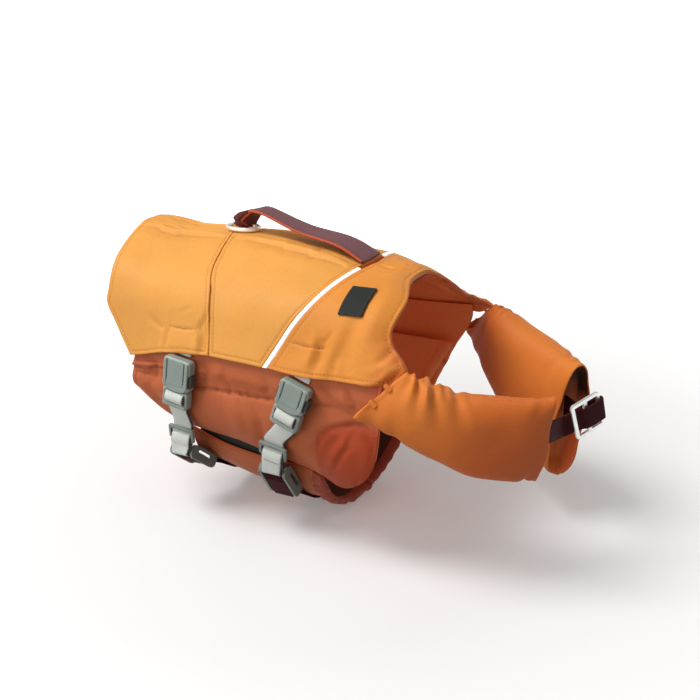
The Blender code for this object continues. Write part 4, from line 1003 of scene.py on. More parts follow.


# %% [markdown]
# A few things are true of some panels only. The front lobes of the flanks hang in loose scallops. The
# free edges of the belly pad and the right flank part a little, and the dark flap shows between them,
# its dark colour partly painted shadow in that gap. Places that hardly any light reaches take painted
# shade. Each of these is a small helper that moves the points or gives them a value.

# %% Lobes, free edges and painted shade
LOBE_WAVE_MM, LOBE_WAVE_X, LOBE_WAVE_Z = 1.3, (78.0, 90.0), (-132.0, -146.0)


def ruffle_lobe(cloth, normals, seam_mm):
    """Small scallops along the loose edge of a flank's front lobe."""
    lobe = ramp(cloth[:, 0], *LOBE_WAVE_X) * ramp(cloth[:, 2], *LOBE_WAVE_Z)
    wave = np.sin(cloth[:, 0] / 2.1 + 1.3 * np.sin(cloth[:, 0] / 5.0)) * bell(seam_mm, 5.0)
    cloth += (normals * 0.7 + (0.0, 0.0, 0.8)) * (LOBE_WAVE_MM * lobe * wave)[:, None]


# how far each free edge drops (mm), and the heights that it lies between
FREE_EDGES = {"belly_panel": (2.8, -190.0, 0.0), "flank_right": (-2.2, -300.0, -130.0)}
GAP_X, GAP_SIDE_Y, GAP_FADE_MM, GAP_TUCK = (-52.0, 66.0), -60.0, 7.0, 0.45


def part_edge(cloth, seam_mm, drop, low, high):
    """Let a free edge on the right side drop, and tuck in as it does."""
    along = np.sin(np.pi * ramp(cloth[:, 0], *GAP_X)) ** 0.8
    free = (cloth[:, 1] < GAP_SIDE_Y) & (cloth[:, 2] > low) & (cloth[:, 2] < high)
    sag = drop * along * bell(seam_mm, GAP_FADE_MM) * free
    cloth[:, 2] -= sag
    cloth[:, 1] += GAP_TUCK * np.abs(sag)


BELLY_GROWTH_MM, BELLY_GROWTH_X, BELLY_GROWTH_FADE_MM = 1.2, (60.0, 75.0), 3.5


def meet_binding(cloth, seam_mm):
    """Let the belly pad's front edge grow a little, into its gathered binding."""
    grown = bell(seam_mm, BELLY_GROWTH_FADE_MM) * ramp(cloth[:, 0], *BELLY_GROWTH_X)
    cloth[:, 0] += BELLY_GROWTH_MM * grown


# x and z along the top of a lobe, how softly the painted shade below it starts, and where it starts from
# behind
LOBE_TOP = ((86, -132), (90, -124), (96, -118), (106, -112), (117, -108), (128, -105), (146, -109))
LOBE_FADE_MM, LOBE_FRONT_X = 5.0, (86.0, 90.0)
# how far from the rim the collar's painted shade reaches and between which heights, and the heights over
# which the belly pad's lining takes painted shade
TURNED_MM, TURNED_Z, BELLY_FLOOR_Z = 21.0, (-22.0, -47.0), (-165.0, -200.0)


def painted_shade_values(node, cloth, outer, rim_mm):
    """Share of painted shade: the flanks' lobes, the belly pad's floor, and the collar where it turns in."""
    if node == "shell_front":
        return ramp(rim_mm, TURNED_MM, 0.0) * ramp(cloth[:, 2], *TURNED_Z) * outer
    # painted shade on the belly pad's lining, darker towards its floor
    if node == "belly_panel":
        return ramp(cloth[:, 2], *BELLY_FLOOR_Z) * ~outer
    if "flank" not in node:
        return np.zeros(len(cloth))
    edge_x, edge_z = np.array(LOBE_TOP, float).T
    under_top = np.interp(cloth[:, 0], edge_x, edge_z) - cloth[:, 2]
    return ramp(under_top, 0.0, LOBE_FADE_MM) * ramp(cloth[:, 0], *LOBE_FRONT_X) * outer


def keep_value(thing, name, values):
    """Let each point of a mesh carry a number that a finish can read."""
    layer = thing.data.attributes.new(name, "FLOAT", "POINT")
    layer.data.foreach_set("value", np.asarray(values, np.float32))


# %% [markdown]
# Now each panel is made in the same order as a maker would work: first the slack of filled cloth, then
# folds and puckers, then the groove that the row of stitches pulls in, and last the stitches. A face that
# looks away from the body takes the outer cloth, one that looks inwards takes the lining, and the band
# behind the collar's edge takes its own facing.

# %% Shape one panel
PANEL_LEVELS, EDGE_FIRMNESS = 3, 0.72
EDGE_ROW_MM, GROOVE_MM, GROOVE_WIDTH_MM, FACING_MM = 3.7, 0.45, 0.9, 15.0
# size of the slack's waves and how high they are (mm)
SLACK_WAVES = ((28.0, 0.45, 0), (9.0, 0.08, 3))
# far from any rim
FAR_MM = 1e3


def shape_panel(number, node):
    """Points (mm), faces, distances from the seam and from the rim, and which points look outwards."""
    cloth, faces, border = fine_copy(node, PANEL_LEVELS, EDGE_FIRMNESS)
    normals = point_normals(cloth, faces)
    outer = np.einsum("ij,ij->i", normals, outwards(cloth)) > 0.0
    seam_mm = distance_to(border, cloth)
    slack = sum(slow_waves(cloth, scale_mm, number + seed) * height for scale_mm, height, seed in SLACK_WAVES)
    cloth += normals * slack[:, None]
    for row in folds_of.get(node, ()):
        press_fold(cloth, normals, *row)
    for seed, (solid, *row) in enumerate(PUCKER_LINES):
        if solid == node:
            pucker(cloth, normals, *row, seed)
    if "flank" in node:
        ruffle_lobe(cloth, normals, seam_mm)
    if node in FREE_EDGES:
        part_edge(cloth, seam_mm, *FREE_EDGES[node])
    if node == "belly_panel":
        meet_binding(cloth, seam_mm)
    groove = GROOVE_MM * bell(seam_mm - EDGE_ROW_MM, GROOVE_WIDTH_MM) * outer
    cloth -= normals * groove[:, None]
    rim_mm = np.full(len(cloth), FAR_MM)
    if node == "shell_front":
        rim_mm = distance_to_line(cloth, front_rim(border))[0]
        roll_in(cloth, rim_mm)
    return cloth, faces, seam_mm, rim_mm, outer


# %% Make the panels
OUTER, LINING, FACING = 0, 1, 2
TACK_GIRTH_MM = 0.3
SEAM_LINES = {
    # rows of stitches that aren't along an edge
    "shell_rear": (((-63, -98, -57), (-46, -98, -58), (-29, -98, -55)),),
    "shell_front": (((62, -98, -51), (79, -98, -53), (94, -98, -51)),),
    "flank_right": (CHANNEL,),
    "flank_left": (LEFT_CHANNEL,),
}

for number, (node, piece, finish, slot, fill) in enumerate(PANELS):
    cloth, faces, seam_mm, rim_mm, outer = shape_panel(number, node)
    thing = link_mesh(piece, cloth * MM, faces)
    stand_in(thing, node, (finish, lining, facing))
    is_outer = np.array([outer[list(face)].any() for face in faces])
    near_rim = np.array([rim_mm[list(face)].mean() < FACING_MM for face in faces])
    cloth_of = np.select([is_outer, near_rim], [OUTER, FACING], LINING)
    thing.data.polygons.foreach_set("material_index", cloth_of.astype(np.int32))
    keep_value(thing, "seam_mm", seam_mm)
    keep_value(thing, "painted_shade", painted_shade_values(node, cloth, outer, rim_mm))
    normals = point_normals(cloth, faces)
    runs = contour(cloth, faces, seam_mm, EDGE_ROW_MM, is_outer)
    rows = [lay_on(cloth, normals, line, out_from(line)) for line in SEAM_LINES.get(node, ())]
    if rows:
        sew(piece + "_tacks", rows, cloth, normals, threads["brown"], TACK_GIRTH_MM)
    if node == "shell_front":
        runs += contour(cloth, faces, rim_mm, FACING_MM, ~is_outer)
    thread = threads["orange" if "shell" in node else "rust"]
    sew(piece + "_stitches", runs, cloth, normals, thread)

# %% [markdown]
# ## Straps
#
# Webbing has square edges with small scallops where the yarns turn back. A flat ribbon wouldn't show
# them, so each strap is a closed tube, and its two edges swing in and out along the way. Grey webbing
# also has a dark edge, partly its selvedge and partly painted shade where its layers part, sewn here as
# loops of dark thread along its front edge.

# %% Woven straps from rings
def face_outwards(thing):
    """Turn the faces of a closed piece outwards."""
    shape = bmesh.new()
    shape.from_mesh(thing.data)
    bmesh.ops.recalc_face_normals(shape, faces=shape.faces)
    shape.to_mesh(thing.data)
    shape.free()


# across the strap: share of its half width, share of its half thickness
STRAP_FLAT = (-0.93, -0.6, -0.2, 0.2, 0.6, 0.93)
STRAP_TOP = [(-1, 0.0), (-0.985, 0.6)] + [(side, 1) for side in STRAP_FLAT] + [(0.985, 0.6)]
STRAP_SECTION = STRAP_TOP + [(-side, -height) for side, height in STRAP_TOP]
STRAP_STEP_MM, SCALLOP_MM, SCALLOP_PITCH_MM, SCALLOP_FROM = 0.45, 0.28, 1.7, 0.9


def keep_strap_map(thing, places):
    """Give a strap its map of millimetres, one place for each of its points."""
    layer = thing.data.uv_layers.new(name="strap_mm")
    for loop in thing.data.loops:
        layer.data[loop.index].uv = places[loop.vertex_index]


def woven_strap(rings, piece, finish):
    """Webbing with ribbed edges along four-cornered rings; also gives its middle line and half width."""
    if np.linalg.norm(rings[0][1] - rings[0][0]) < np.linalg.norm(rings[0][2] - rings[0][1]):
        rings = np.roll(rings, 1, axis=1)
    across = (rings[:, 0] - rings[:, 1] + rings[:, 3] - rings[:, 2]) / 4
    lift = (rings[:, 0] + rings[:, 1] - rings[:, 2] - rings[:, 3]) / 4
    rows, place = even_rows(np.hstack([rings.mean(axis=1), across, lift]), STRAP_STEP_MM)
    ribs = SCALLOP_MM * np.sin(2 * math.pi * place / SCALLOP_PITCH_MM)
    half = np.linalg.norm(rows[:, 3:6], axis=1)
    points, places = [], []
    for station, row in enumerate(rows):
        scalloped = 1.0 + (ribs[station] - SCALLOP_MM) / half[station]
        for side, height in STRAP_SECTION:
            width = side * (scalloped if abs(side) > SCALLOP_FROM else 1.0)
            points.append(row[:3] + row[3:6] * width + row[6:9] * height)
            places.append((side * half[station], place[station]))
    thing = link_mesh(piece, np.array(points) * MM, tube_faces(len(rows), len(STRAP_SECTION)))
    keep_strap_map(thing, places)
    face_outwards(thing)
    thing.data.materials.append(finish)
    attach(thing, "root")
    return thing, rows[:, :3], rows[:, 3:6]


SELVEDGE_GIRTH_MM, SELVEDGE_LOOP_MM, SELVEDGE_GAP_MM = 0.95, 1.7, 0.35


def selvedge_and_shade(piece, line, across):
    """Dark loops of thread along the front edge of webbing: its selvedge, and painted shade where its layers
    part.
    """
    forward = across * np.sign(across[:, :1].mean())
    edge = line + forward
    sew(piece, [edge], edge, unit(forward), threads["dark"], SELVEDGE_GIRTH_MM, SELVEDGE_LOOP_MM,
        SELVEDGE_GAP_MM)


for node, piece, finish, slot in (
    ("rear_grey_web", "rear_buckle_webbing", grey_web, "webbing_grey"),
    ("front_grey_web", "front_buckle_webbing", grey_web, "webbing_grey"),
    ("rear_belly_web", "rear_belly_strap", maroon, "maroon"),
    ("front_belly_web", "front_belly_strap", maroon, "maroon"),
    ("chest_web", "chest_strap", maroon, "maroon"),
):
    thing, line, across = woven_strap(rings_of(node), piece, finish)
    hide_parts(node)
    print(thing.name, "for", node, "with", len(thing.data.polygons), "faces")
    if finish is grey_web:
        selvedge_and_shade(piece + "_selvedge", line, across)


# %% [markdown]
# ## The lifting handle
#
# The handle is a padded strap: soft webbing on top, a darker facing beneath, and a narrow red trim that
# closes each edge. Its front end is sewn down flat, with a box of stitches across it.

# %% Handle shapes
def handle_height(side):
    """Height of the padded top over its half width, 1 in the middle and lower towards the edges."""
    return 1.0 - 0.22 * abs(side) ** 5


EDGE_HEIGHT = 0.25
HANDLE_TOP = [(side, handle_height(side)) for side in np.linspace(0.94, -0.94, 15)]
HANDLE_HALF = [(1.0, EDGE_HEIGHT)] + HANDLE_TOP + [(-1.0, EDGE_HEIGHT)]
HANDLE_PROFILE = HANDLE_HALF + [(-side, -height) for side, height in HANDLE_HALF]


def strap_frame(rings):
    """Middle, half width and half thickness vectors of eight-cornered rings, thickness pointing up."""
    middle = rings[len(rings) // 2]
    after = np.roll(middle, -1, axis=0)
    longest = np.argsort(-np.linalg.norm(after - middle, axis=1))[:2]
    top = max(longest, key=lambda index: middle[index][2] + after[index][2])
    rings = np.roll(rings, 1 - top, axis=1)
    across = (rings[:, 0] + rings[:, 7] - rings[:, 3] - rings[:, 4]) / 4
    lift = (rings[:, 1] + rings[:, 2] - rings[:, 5] - rings[:, 6]) / 4
    return np.hstack([rings.mean(axis=1), across, lift])


def tube(piece, path, radius, sides, finish):
    """A round trim along a path (mm)."""
    ahead = unit(np.gradient(path, axis=0))
    first = unit(np.cross(ahead, (0.0, 0.0, 1.0)))
    second = np.cross(ahead, first)
    turns = [2 * math.pi * side / sides for side in range(sides)]
    rounds = [path + radius * (first * math.cos(turn) + second * math.sin(turn)) for turn in turns]
    points = np.stack(rounds, axis=1)
    thing = link_mesh(piece, points.reshape(-1, 3) * MM, tube_faces(len(path), sides))
    face_outwards(thing)
    thing.data.materials.append(finish)
    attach(thing, "root")


# %% Make the handle
HANDLE_STEP_MM = 0.9
# the strap is pressed narrower where it goes through the ring
RING_SHARE, RING_REACH_MM = 0.62, 30.0
# the skin and the trim lie a hair inside the solid's edge
SKIN_WIDTH, TRIM_WIDTH, TRIM_MM, TRIM_SIDES = 0.97, 0.98, 1.15, 10

rows, place = even_rows(strap_frame(rings_of("handle")), HANDLE_STEP_MM)
if rows[0][0] > rows[-1][0]:
    rows = rows[::-1]
centre, across, lift = rows[:, :3], rows[:, 3:6], rows[:, 6:9]
narrowed = RING_SHARE + (1.0 - RING_SHARE) * ramp(place, 0.0, RING_REACH_MM) ** 1.5
across = across * narrowed[:, None]
points = np.stack([centre + across * side * SKIN_WIDTH + lift * height
                   for side, height in HANDLE_PROFILE], axis=1)
handle = link_mesh("lifting_handle", points.reshape(-1, 3) * MM, tube_faces(len(rows), len(HANDLE_PROFILE)))
half_width = np.linalg.norm(across, axis=1)
keep_strap_map(handle, [(side * half_width[station], place[station])
                        for station in range(len(rows)) for side, _ in HANDLE_PROFILE])
stand_in(handle, "handle", (handle_purple, handle_under))
is_under = [all(HANDLE_PROFILE[index % len(HANDLE_PROFILE)][1] <= EDGE_HEIGHT for index in polygon.vertices)
            for polygon in handle.data.polygons]
handle.data.polygons.foreach_set("material_index", np.array(is_under, np.int32))
face_outwards(handle)
for side, label in ((1, "one"), (-1, "other")):
    edge = centre + across * side * TRIM_WIDTH - lift * EDGE_HEIGHT
    tube("handle_trim_" + label, edge[2:-2], TRIM_MM, TRIM_SIDES, trim_red)

# %% Stitches on the handle
SURFACE_SIDES = np.linspace(-0.9, 0.9, 19)
# the box at the front end: how far back its two rows lie, how far out its sides
BOX_BACK_MM, BOX_SIDE = (3.0, 13.0), 0.8
BOX_STATIONS, LONG_STATIONS = slice(-15, -3), slice(8, -15)

surface = np.concatenate([centre + across * side + lift * handle_height(side) for side in SURFACE_SIDES])
surface_up = np.tile(unit(lift), (len(SURFACE_SIDES), 1))
lines = []
for back in BOX_BACK_MM:
    station = int(np.searchsorted(place, place[-1] - back))
    sides = np.linspace(-BOX_SIDE, BOX_SIDE, 9)
    lines.append(np.array([centre[station] + across[station] * side + lift[station] for side in sides]))
for side in (-BOX_SIDE, BOX_SIDE):
    lines.append((centre + across * side + lift)[BOX_STATIONS])
    lines.append((centre + across * side * 1.02 + lift * 0.9)[LONG_STATIONS])
sew("handle_stitches", lines, surface, surface_up, threads["maroon"])

# %% [markdown]
# ## Collar pillows
#
# Each pillow is a stuffed sleeve. Its neck is gathered into the shoulder seam, so the cloth there runs in
# uneven pleats that open out as the sleeve fills. The far end stays open for the chest strap, with a thin
# turned lip. Every shape below is worked out on the unrolled sleeve: how far along it a point is, and how
# far round from the seam on top, both in millimetres.

# %% Tables of gathers
# place along, depth, width, reach down each side, slant and lip of each gather at the top seam
GATHERS = {
    "right": ((6, 3.0, 3.4, 22, 0.45, 0.7), (19, 4.6, 3.2, 26, 0.42, 1.1), (27, 1.6, 2.4, 12, 0.10, 0.7),
              (38, 4.2, 3.4, 27, 0.28, 1.0), (50, 2.6, 3.0, 17, 0.05, 0.8), (60, 3.0, 3.4, 22, 0.22, 0.8),
              (74, 0.9, 3.6, 14, 0.0, 0.5), (128, 1.4, 3.0, 16, -0.5, 0.6)),
    "left": ((7, 3.2, 3.0, 30, 0.45, 0.7), (17, 2.2, 3.0, 22, 0.25, 0.8), (30, 1.2, 3.4, 18, 0.2, 0.6),
             (124, 1.6, 3.0, 26, -0.35, 0.8), (133, 1.4, 2.6, 18, -0.2, 0.6)),
}
# place along, depth, width, reach and slant of each pleat at the bottom seam
LOWER_GATHERS = {
    "right": ((9, 1.3, 3.2, 20, -0.45), (22, 0.9, 3.6, 22, -0.3), (121, 1.2, 3.4, 20, 0.4)),
    "left": ((9, 1.2, 3.2, 18, -0.4), (22, 0.9, 3.4, 20, -0.3), (116, 0.9, 3.4, 18, 0.3)),
}
print("gathers:", {side: len(rows) + len(LOWER_GATHERS[side]) for side, rows in GATHERS.items()})


# %% Pillow skins
AROUND, ALONG_MM = 120, 1.5


def spline_skin(rings, spacing, around):
    """Even stations along some rings and a round spline across them."""
    count = rings.shape[1]
    rows, place = even_rows(np.hstack([rings.mean(axis=1), rings.reshape(len(rings), -1)]), spacing)
    rings = rows[:, 3:].reshape(len(rows), count, 3)
    turn = np.arange(around) * count / around
    index = turn.astype(int)
    neighbours = (rings[:, (index + step) % count] for step in (-1, 0, 1, 2))
    return through_points(*neighbours, (turn - index)[None, :, None]), place


def skin_normals(skin):
    """Outward unit normals of a skin given as stations x points x 3."""
    round_about = np.roll(skin, -1, axis=1) - np.roll(skin, 1, axis=1)
    normal = unit(np.cross(np.gradient(skin, axis=0), round_about))
    return normal * np.sign(np.einsum("ijk,ijk->ij", normal, skin - skin.mean(axis=1, keepdims=True)).sum())


def way_round(skin, zero):
    """How far each point is round the sleeve from one of its corners, negative the other way (mm)."""
    step = np.roll(np.linalg.norm(np.roll(skin, -1, axis=1) - skin, axis=2), -zero, axis=1)
    ahead = np.cumsum(step, axis=1) - step[:, :1]
    girth = step.sum(axis=1, keepdims=True)
    return np.roll(np.where(ahead > girth / 2, ahead - girth, ahead), zero, axis=1)


# %% [markdown]
# A gather starts at a seam, where the thread holds the cloth in, and runs out as a trough between two
# lips that grows wider and shallower. On the seam itself it is shallow, because the thread there pulls
# the cloth flat. The way round the sleeve is signed, so one row in the table gives a trough down both
# sides, a little different on each.

# %% Gathers and seams of a pillow
# a gather's share of depth on the seam, how fast it deepens and widens (mm), and its lips' place in widths
TOP_SHARE, PEAK_MM, SPREAD_MM, LIP_AT = 0.32, 7.0, 28.0, 1.7
# down each side of the top seam: sign, share of the depth, share of the slant
SIDES = ((1, 1.0, 1.0), (-1, 0.8, 0.6))
SEAM_DIP_MM, SEAM_WIDTH_MM, TOP_SEAM_FROM, LOW_SEAM_FROM = 0.6, 1.4, (60.0, 80.0), (0.0, 20.0)


def gathered(s, from_top, from_low, side):
    """How far the gathers move each point along its normal (mm)."""
    move = np.zeros(from_top.shape)
    for start, depth, width, reach, slant, lip in GATHERS[side]:
        for sign, share, slant_share in SIDES:
            arc = np.clip(from_top * sign, 0.0, None)
            off = (s - start - slant * arc * slant_share) / (width * (1.0 + arc / SPREAD_MM))
            fold = bell(off, 1.0) - lip * 0.5 * (bell(off - LIP_AT, 1.0) + bell(off + LIP_AT, 1.0))
            peak = TOP_SHARE + (1.0 - TOP_SHARE) * (1.0 - bell(arc, PEAK_MM))
            move -= (from_top * sign >= 0.0) * share * depth * peak * fold * bell(arc, reach)
    for start, depth, width, reach, slant in LOWER_GATHERS[side]:
        arc = np.abs(from_low)
        off = (s - start - slant * arc) / (width * (1.0 + arc / SPREAD_MM))
        move -= depth * (bell(off, 1.0) - 0.4 * bell(np.abs(off) - LIP_AT, 1.0)) * bell(arc, reach)
    return move


def sewn(s, from_top, from_low):
    """The dip of both seams and the fine puckers beside them (mm)."""
    move = np.zeros(from_top.shape)
    puckers = 0.16 * np.sin(2 * math.pi * s / 8.3 + 1.7 * np.sin(s / 11.0))
    for arc, share in ((from_top, ramp(s, *TOP_SEAM_FROM)), (from_low, ramp(s, *LOW_SEAM_FROM))):
        move -= share * SEAM_DIP_MM * bell(arc, SEAM_WIDTH_MM)
        move += share * puckers * bell(np.abs(arc) - 3.0, 3.2)
    return move


# %% Shape of a pillow
# waves of the filled sleeve: size, height (mm) and seed on each side
FULLNESS_MM = 25.0
PILLOW_WAVES = ((30.0, 1.3, {"right": 5.0, "left": 9.0}), (11.0, 0.25, {"right": 2.0, "left": 2.0}))
MOUTH_WAVE_MM, MOUTH_REACH_MM, MOUTH_TURN = 1.5, 26.0, {"right": 0.7, "left": 2.2}
# how far the mouth's top and bottom corners stand out, and over which length
EAR_MM, EAR_REACH_MM = {"right": (1.0, 5.5), "left": (4.0, 3.0)}, 16.0
# the corner where a pillow's bottom seam meets the shoulder, and its reach along and round the sleeve
TIP_MM, TIP_REACH_MM = {"right": (-7.0, -3.0, 1.0), "left": (-7.0, 1.5, 1.5)}, (10.0, 13.0)
# the outside takes painted shade towards one end, and down its sides
PAINTED_SHADE_ALONG = {"right": (30.0, 95.0), "left": (75.0, 10.0)}
PAINTED_SHADE_SIDE_MM = 62.0


def shape_pillow(skin, place, side):
    """The skin with gathers, seams, slack and mouth, its normals, its top corner and its share of painted
    shade.
    """
    normal = skin_normals(skin)
    middle_ring = skin[len(skin) // 2, :, 2]
    top = int(np.argmax(middle_ring))
    from_top, from_low = way_round(skin, top), way_round(skin, int(np.argmin(middle_ring)))
    s, length = place[:, None], place[-1]
    move = gathered(s, from_top, from_low, side) + sewn(s, from_top, from_low)
    for scale_mm, height, seeds in PILLOW_WAVES:
        waves = slow_waves(skin.reshape(-1, 3), scale_mm, seeds[side]).reshape(move.shape)
        move += ramp(s, 0.0, FULLNESS_MM) * height * waves
    mouth = ramp(s, length - MOUTH_REACH_MM, length) ** 2
    move += mouth * MOUTH_WAVE_MM * np.sin(from_top / 9.0 + MOUTH_TURN[side])
    moved = skin + normal * move[:, :, None]
    top_ear, low_ear = EAR_MM[side]
    corner = ramp(s, length - EAR_REACH_MM, length) ** 1.5
    moved[:, :, 2] += corner * (top_ear * bell(from_top, 9.0) - low_ear * bell(from_low, 8.0))
    tip = bell(s, TIP_REACH_MM[0]) * bell(from_low, TIP_REACH_MM[1])
    moved += tip[:, :, None] * np.array(TIP_MM[side])
    down_the_side = ramp(np.abs(from_top), 0.0, PAINTED_SHADE_SIDE_MM)
    painted_shade = np.clip(0.7 * ramp(s, *PAINTED_SHADE_ALONG[side]) + 0.55 * down_the_side - 0.1, 0.0, 1.0)
    return moved, normal, top, painted_shade


# %% Close the ends of a pillow
# from the middle of the shoulder end out to its edge: share of the way, and how far it bulges (mm)
ROOT = ((0.12, 1.3), (0.4, 1.2), (0.7, 0.9), (0.9, 0.4))
# over the mouth's lip: share of the way from outside to inside, and how far it bulges (mm)
LIP = ((0.25, 0.7), (0.5, 0.95), (0.75, 0.7))


def ends_of(outside, inside):
    """Rings that close the shoulder end and rings that turn the mouth's lip over."""
    behind = unit(outside[0].mean(axis=0) - outside[3].mean(axis=0))
    ahead = unit(outside[-1].mean(axis=0) - outside[-4].mean(axis=0))
    middle = outside[0].mean(axis=0)
    root = np.stack([middle * (1 - share) + outside[0] * share + behind * rise for share, rise in ROOT])
    lip = np.stack([outside[-1] * (1 - share) + inside[0] * share + ahead * rise for share, rise in LIP])
    return root, lip


# %% Make the pillows
SMOOTHING_PASSES, INNER_RINGS = 7, 3
# inside a pillow the lining takes painted shade between these heights, darkest towards its top
SHADE_Z = (-128.0, -112.0)
# the row of stitches starts this far along, on both sides of the top corner
PILLOW_ROW_FROM_MM, PILLOW_ROW_OFF = 62.0, 2

for side in ("right", "left"):
    rings = rings_of("collar_pillow_" + side)
    if rings[0, :, 0].mean() > rings[-1, :, 0].mean():
        rings = rings[::-1]
    outer_rings = rings[:-INNER_RINGS].copy()
    for _ in range(SMOOTHING_PASSES):
        outer_rings[2:-2] = (outer_rings[1:-3] + 2 * outer_rings[2:-2] + outer_rings[3:-1]) / 4
    sleeve, place = spline_skin(outer_rings, ALONG_MM, AROUND)
    hollow, hollow_place = spline_skin(rings[-INNER_RINGS:], ALONG_MM, AROUND)
    outside, normal, top, outer_painted_shade = shape_pillow(sleeve, place, side)
    fade = ramp(hollow_place, hollow_place[-1], 0.0)[:, None, None]
    inside = hollow + (outside[-1] - sleeve[-1])[None, :, :] * fade
    root, lip = ends_of(outside, inside)
    skin = np.concatenate([root, outside, lip, inside])
    piece = side + "_collar_pillow"
    thing = link_mesh(piece, skin.reshape(-1, 3) * MM, tube_faces(len(skin), AROUND))
    stand_in(thing, "collar_pillow_" + side, (pillow_orange, lining))
    stations = np.array([min(polygon.vertices) // AROUND for polygon in thing.data.polygons])
    is_inside = stations >= len(root) + len(outside) + 2
    thing.data.polygons.foreach_set("material_index", is_inside.astype(np.int32))
    inner_painted_shade = ramp(inside[:, :, 2], *SHADE_Z)
    painted_shade = np.concatenate([np.repeat(outer_painted_shade[:1], len(root), axis=0), outer_painted_shade,
                           np.repeat(outer_painted_shade[-1:], len(lip), axis=0), inner_painted_shade])
    keep_value(thing, "painted_shade", painted_shade.ravel())
    face_outwards(thing)
    first = int(np.searchsorted(place, PILLOW_ROW_FROM_MM))
    rows = [outside[first:-2, (top + shift) % AROUND] for shift in (PILLOW_ROW_OFF, -PILLOW_ROW_OFF)]
    sew(piece + "_stitches", rows, outside.reshape(-1, 3), normal.reshape(-1, 3), threads["pillow"])


# %% [markdown]
# ## Small cloth pieces
#
# Tabs, tape, piping and the label are small solids. A subdivided copy rounds them enough. Where a tab
# should look narrower than its solid, the copy is shrunk along the piece's own long, middle or thin way,
# which its points tell by themselves. The label has a stitched border and stays bare.

# %% Helper for small cloth pieces
def finer_piece(node, piece, finish, levels=2, shares=(1.0, 1.0, 1.0), row_mm=None, thread=None):
    """A subdivided copy of a small solid that stands for it; shares shrink its long, middle and thin way."""
    points, faces, border = fine_copy(node, levels, 0.6)
    middle = points.mean(axis=0)
    ways = np.linalg.svd(points - middle, full_matrices=False)[2]
    points = middle + ((points - middle) @ ways.T * shares) @ ways
    thing = stand_in(link_mesh(piece, points * MM, faces), node, (finish,))
    if row_mm:
        normals = point_normals(points, faces)
        outer = np.einsum("ij,ij->i", normals, outwards(points)) > 0.3
        wanted = np.array([outer[list(face)].all() for face in faces])
        runs = contour(points, faces, distance_to(border, points), row_mm, wanted)
        sew(piece + "_stitches", runs, points, normals, thread)
    return thing


# %% [markdown]
# The belly pad's front edge is bound with a strip of cloth that was sewn on longer than the edge, so it
# stands in small uneven gathers. They are waves round the body, with a second wave at an odd pitch so
# that no two are alike. The far end of the strip lies against the lining and takes its cloth.

# %% Gathered edge of the belly pad
GATHER_MM, GATHER_PITCH_MM, GATHER_SWELL_MM, GATHER_SWAY_MM = 0.75, 11.0, 0.9, 0.8
# the strip's own radius round the middle line, its place along the body, and where its gathers begin
STRIP_RADIUS_MM, STRIP_X, GATHERED_Y = 118.0, 95.0, (30.0, 10.0)
FAR_END_Y, FAR_END_Z = 20.0, -196.0
STRIP_LEVELS, STRIP_FIRMNESS, STRIP_CUT_M = 3, 0.4, (0.0135, 0.346)

points, faces, _ = fine_copy("belly_binding", STRIP_LEVELS, STRIP_FIRMNESS)
normals = point_normals(points, faces)
around_mm = STRIP_RADIUS_MM * np.arctan2(points[:, 1], -(points[:, 2] - AXIS_Z))
lean = (points[:, 0] - STRIP_X) / 8.0
turn = 2 * math.pi * around_mm / GATHER_PITCH_MM + 2.6 * np.sin(around_mm / 14.0) + lean
wave = np.sin(turn) + 0.45 * np.sin(2.3 * turn + 1.0)
near_end = ramp(points[:, 1], *GATHERED_Y)
height = GATHER_MM * wave * (0.65 + 0.5 * np.sin(around_mm / 17.0)) * near_end
points += outwards(points) * height[:, None] + normals * GATHER_SWELL_MM
points[:, 0] += GATHER_SWAY_MM * np.sin(around_mm / 5.5 + 2.0 * np.sin(around_mm / 21.0)) * near_end
strip = link_mesh("belly_edge_binding", points * MM, faces)
stand_in(strip, "belly_binding", (binding_red, lining))
middles = np.array([points[list(face)].mean(axis=0) for face in faces])
far_end = (middles[:, 1] > FAR_END_Y) & (middles[:, 2] > FAR_END_Z)
strip.data.polygons.foreach_set("material_index", far_end.astype(np.int32))

# %% Flap, tape, piping, label and tabs
# the flap's black is partly its own cloth and partly painted shadow in the gap below the flank
flap = finer_piece("closure_flap", "closure_lining", black_and_shadow_cloth)
finer_piece("neck_tape", "collar_tape", purple_tape)
finer_piece("piping_right", "right_piping", reflective)
finer_piece("piping_left", "left_piping", reflective)
finer_piece("label_patch", "bare_label", black_and_shadow_cloth, 3, row_mm=1.3, thread=threads["label"])
finer_piece("leash_ring", "metal_leash_ring", cream_metal, 1)
# shares of the solid's long, middle and thin way
HEM_TAB_SHARES, PILLOW_TAB_SHARES = (0.74, 1.0, 1.0), (0.85, 0.66, 0.55)
for end in ("rear", "front"):
    finer_piece(end + "_hem_tab", end + "_buckle_tab", grey_web, shares=HEM_TAB_SHARES)
for side in ("right", "left"):
    for count in ("1", "2"):
        finer_piece(f"pillow_tab_{side}_{count}", f"{side}_pillow_tab_{count}", pillow_orange,
                    shares=PILLOW_TAB_SHARES)

# %% [markdown]
# ## Moulded fittings
#
# The buckles, slides and rings keep their solids. A moulding never has a knife edge, so each gets a small
# bevel, which catches a line of light along every edge.

# %% Fittings
SOFT_BEND_DEG = 35.0
FITTINGS = {
    # part: finish and radius of its edges (mm)
    "buckle_female": (buckle_plastic, 0.5),
    "buckle_male": (buckle_plastic, 0.6),
    "slide": (slide_plastic, 0.45),
    "ring": (ring_plastic, 0.6),
}


def soften(thing, width_mm):
    """Round the edges of a moulded piece."""
    bevel = thing.modifiers.new("soft_edges", "BEVEL")
    bevel.width = width_mm * MM
    bevel.segments = 2
    bevel.limit_method = "ANGLE"
    bevel.angle_limit = math.radians(SOFT_BEND_DEG)


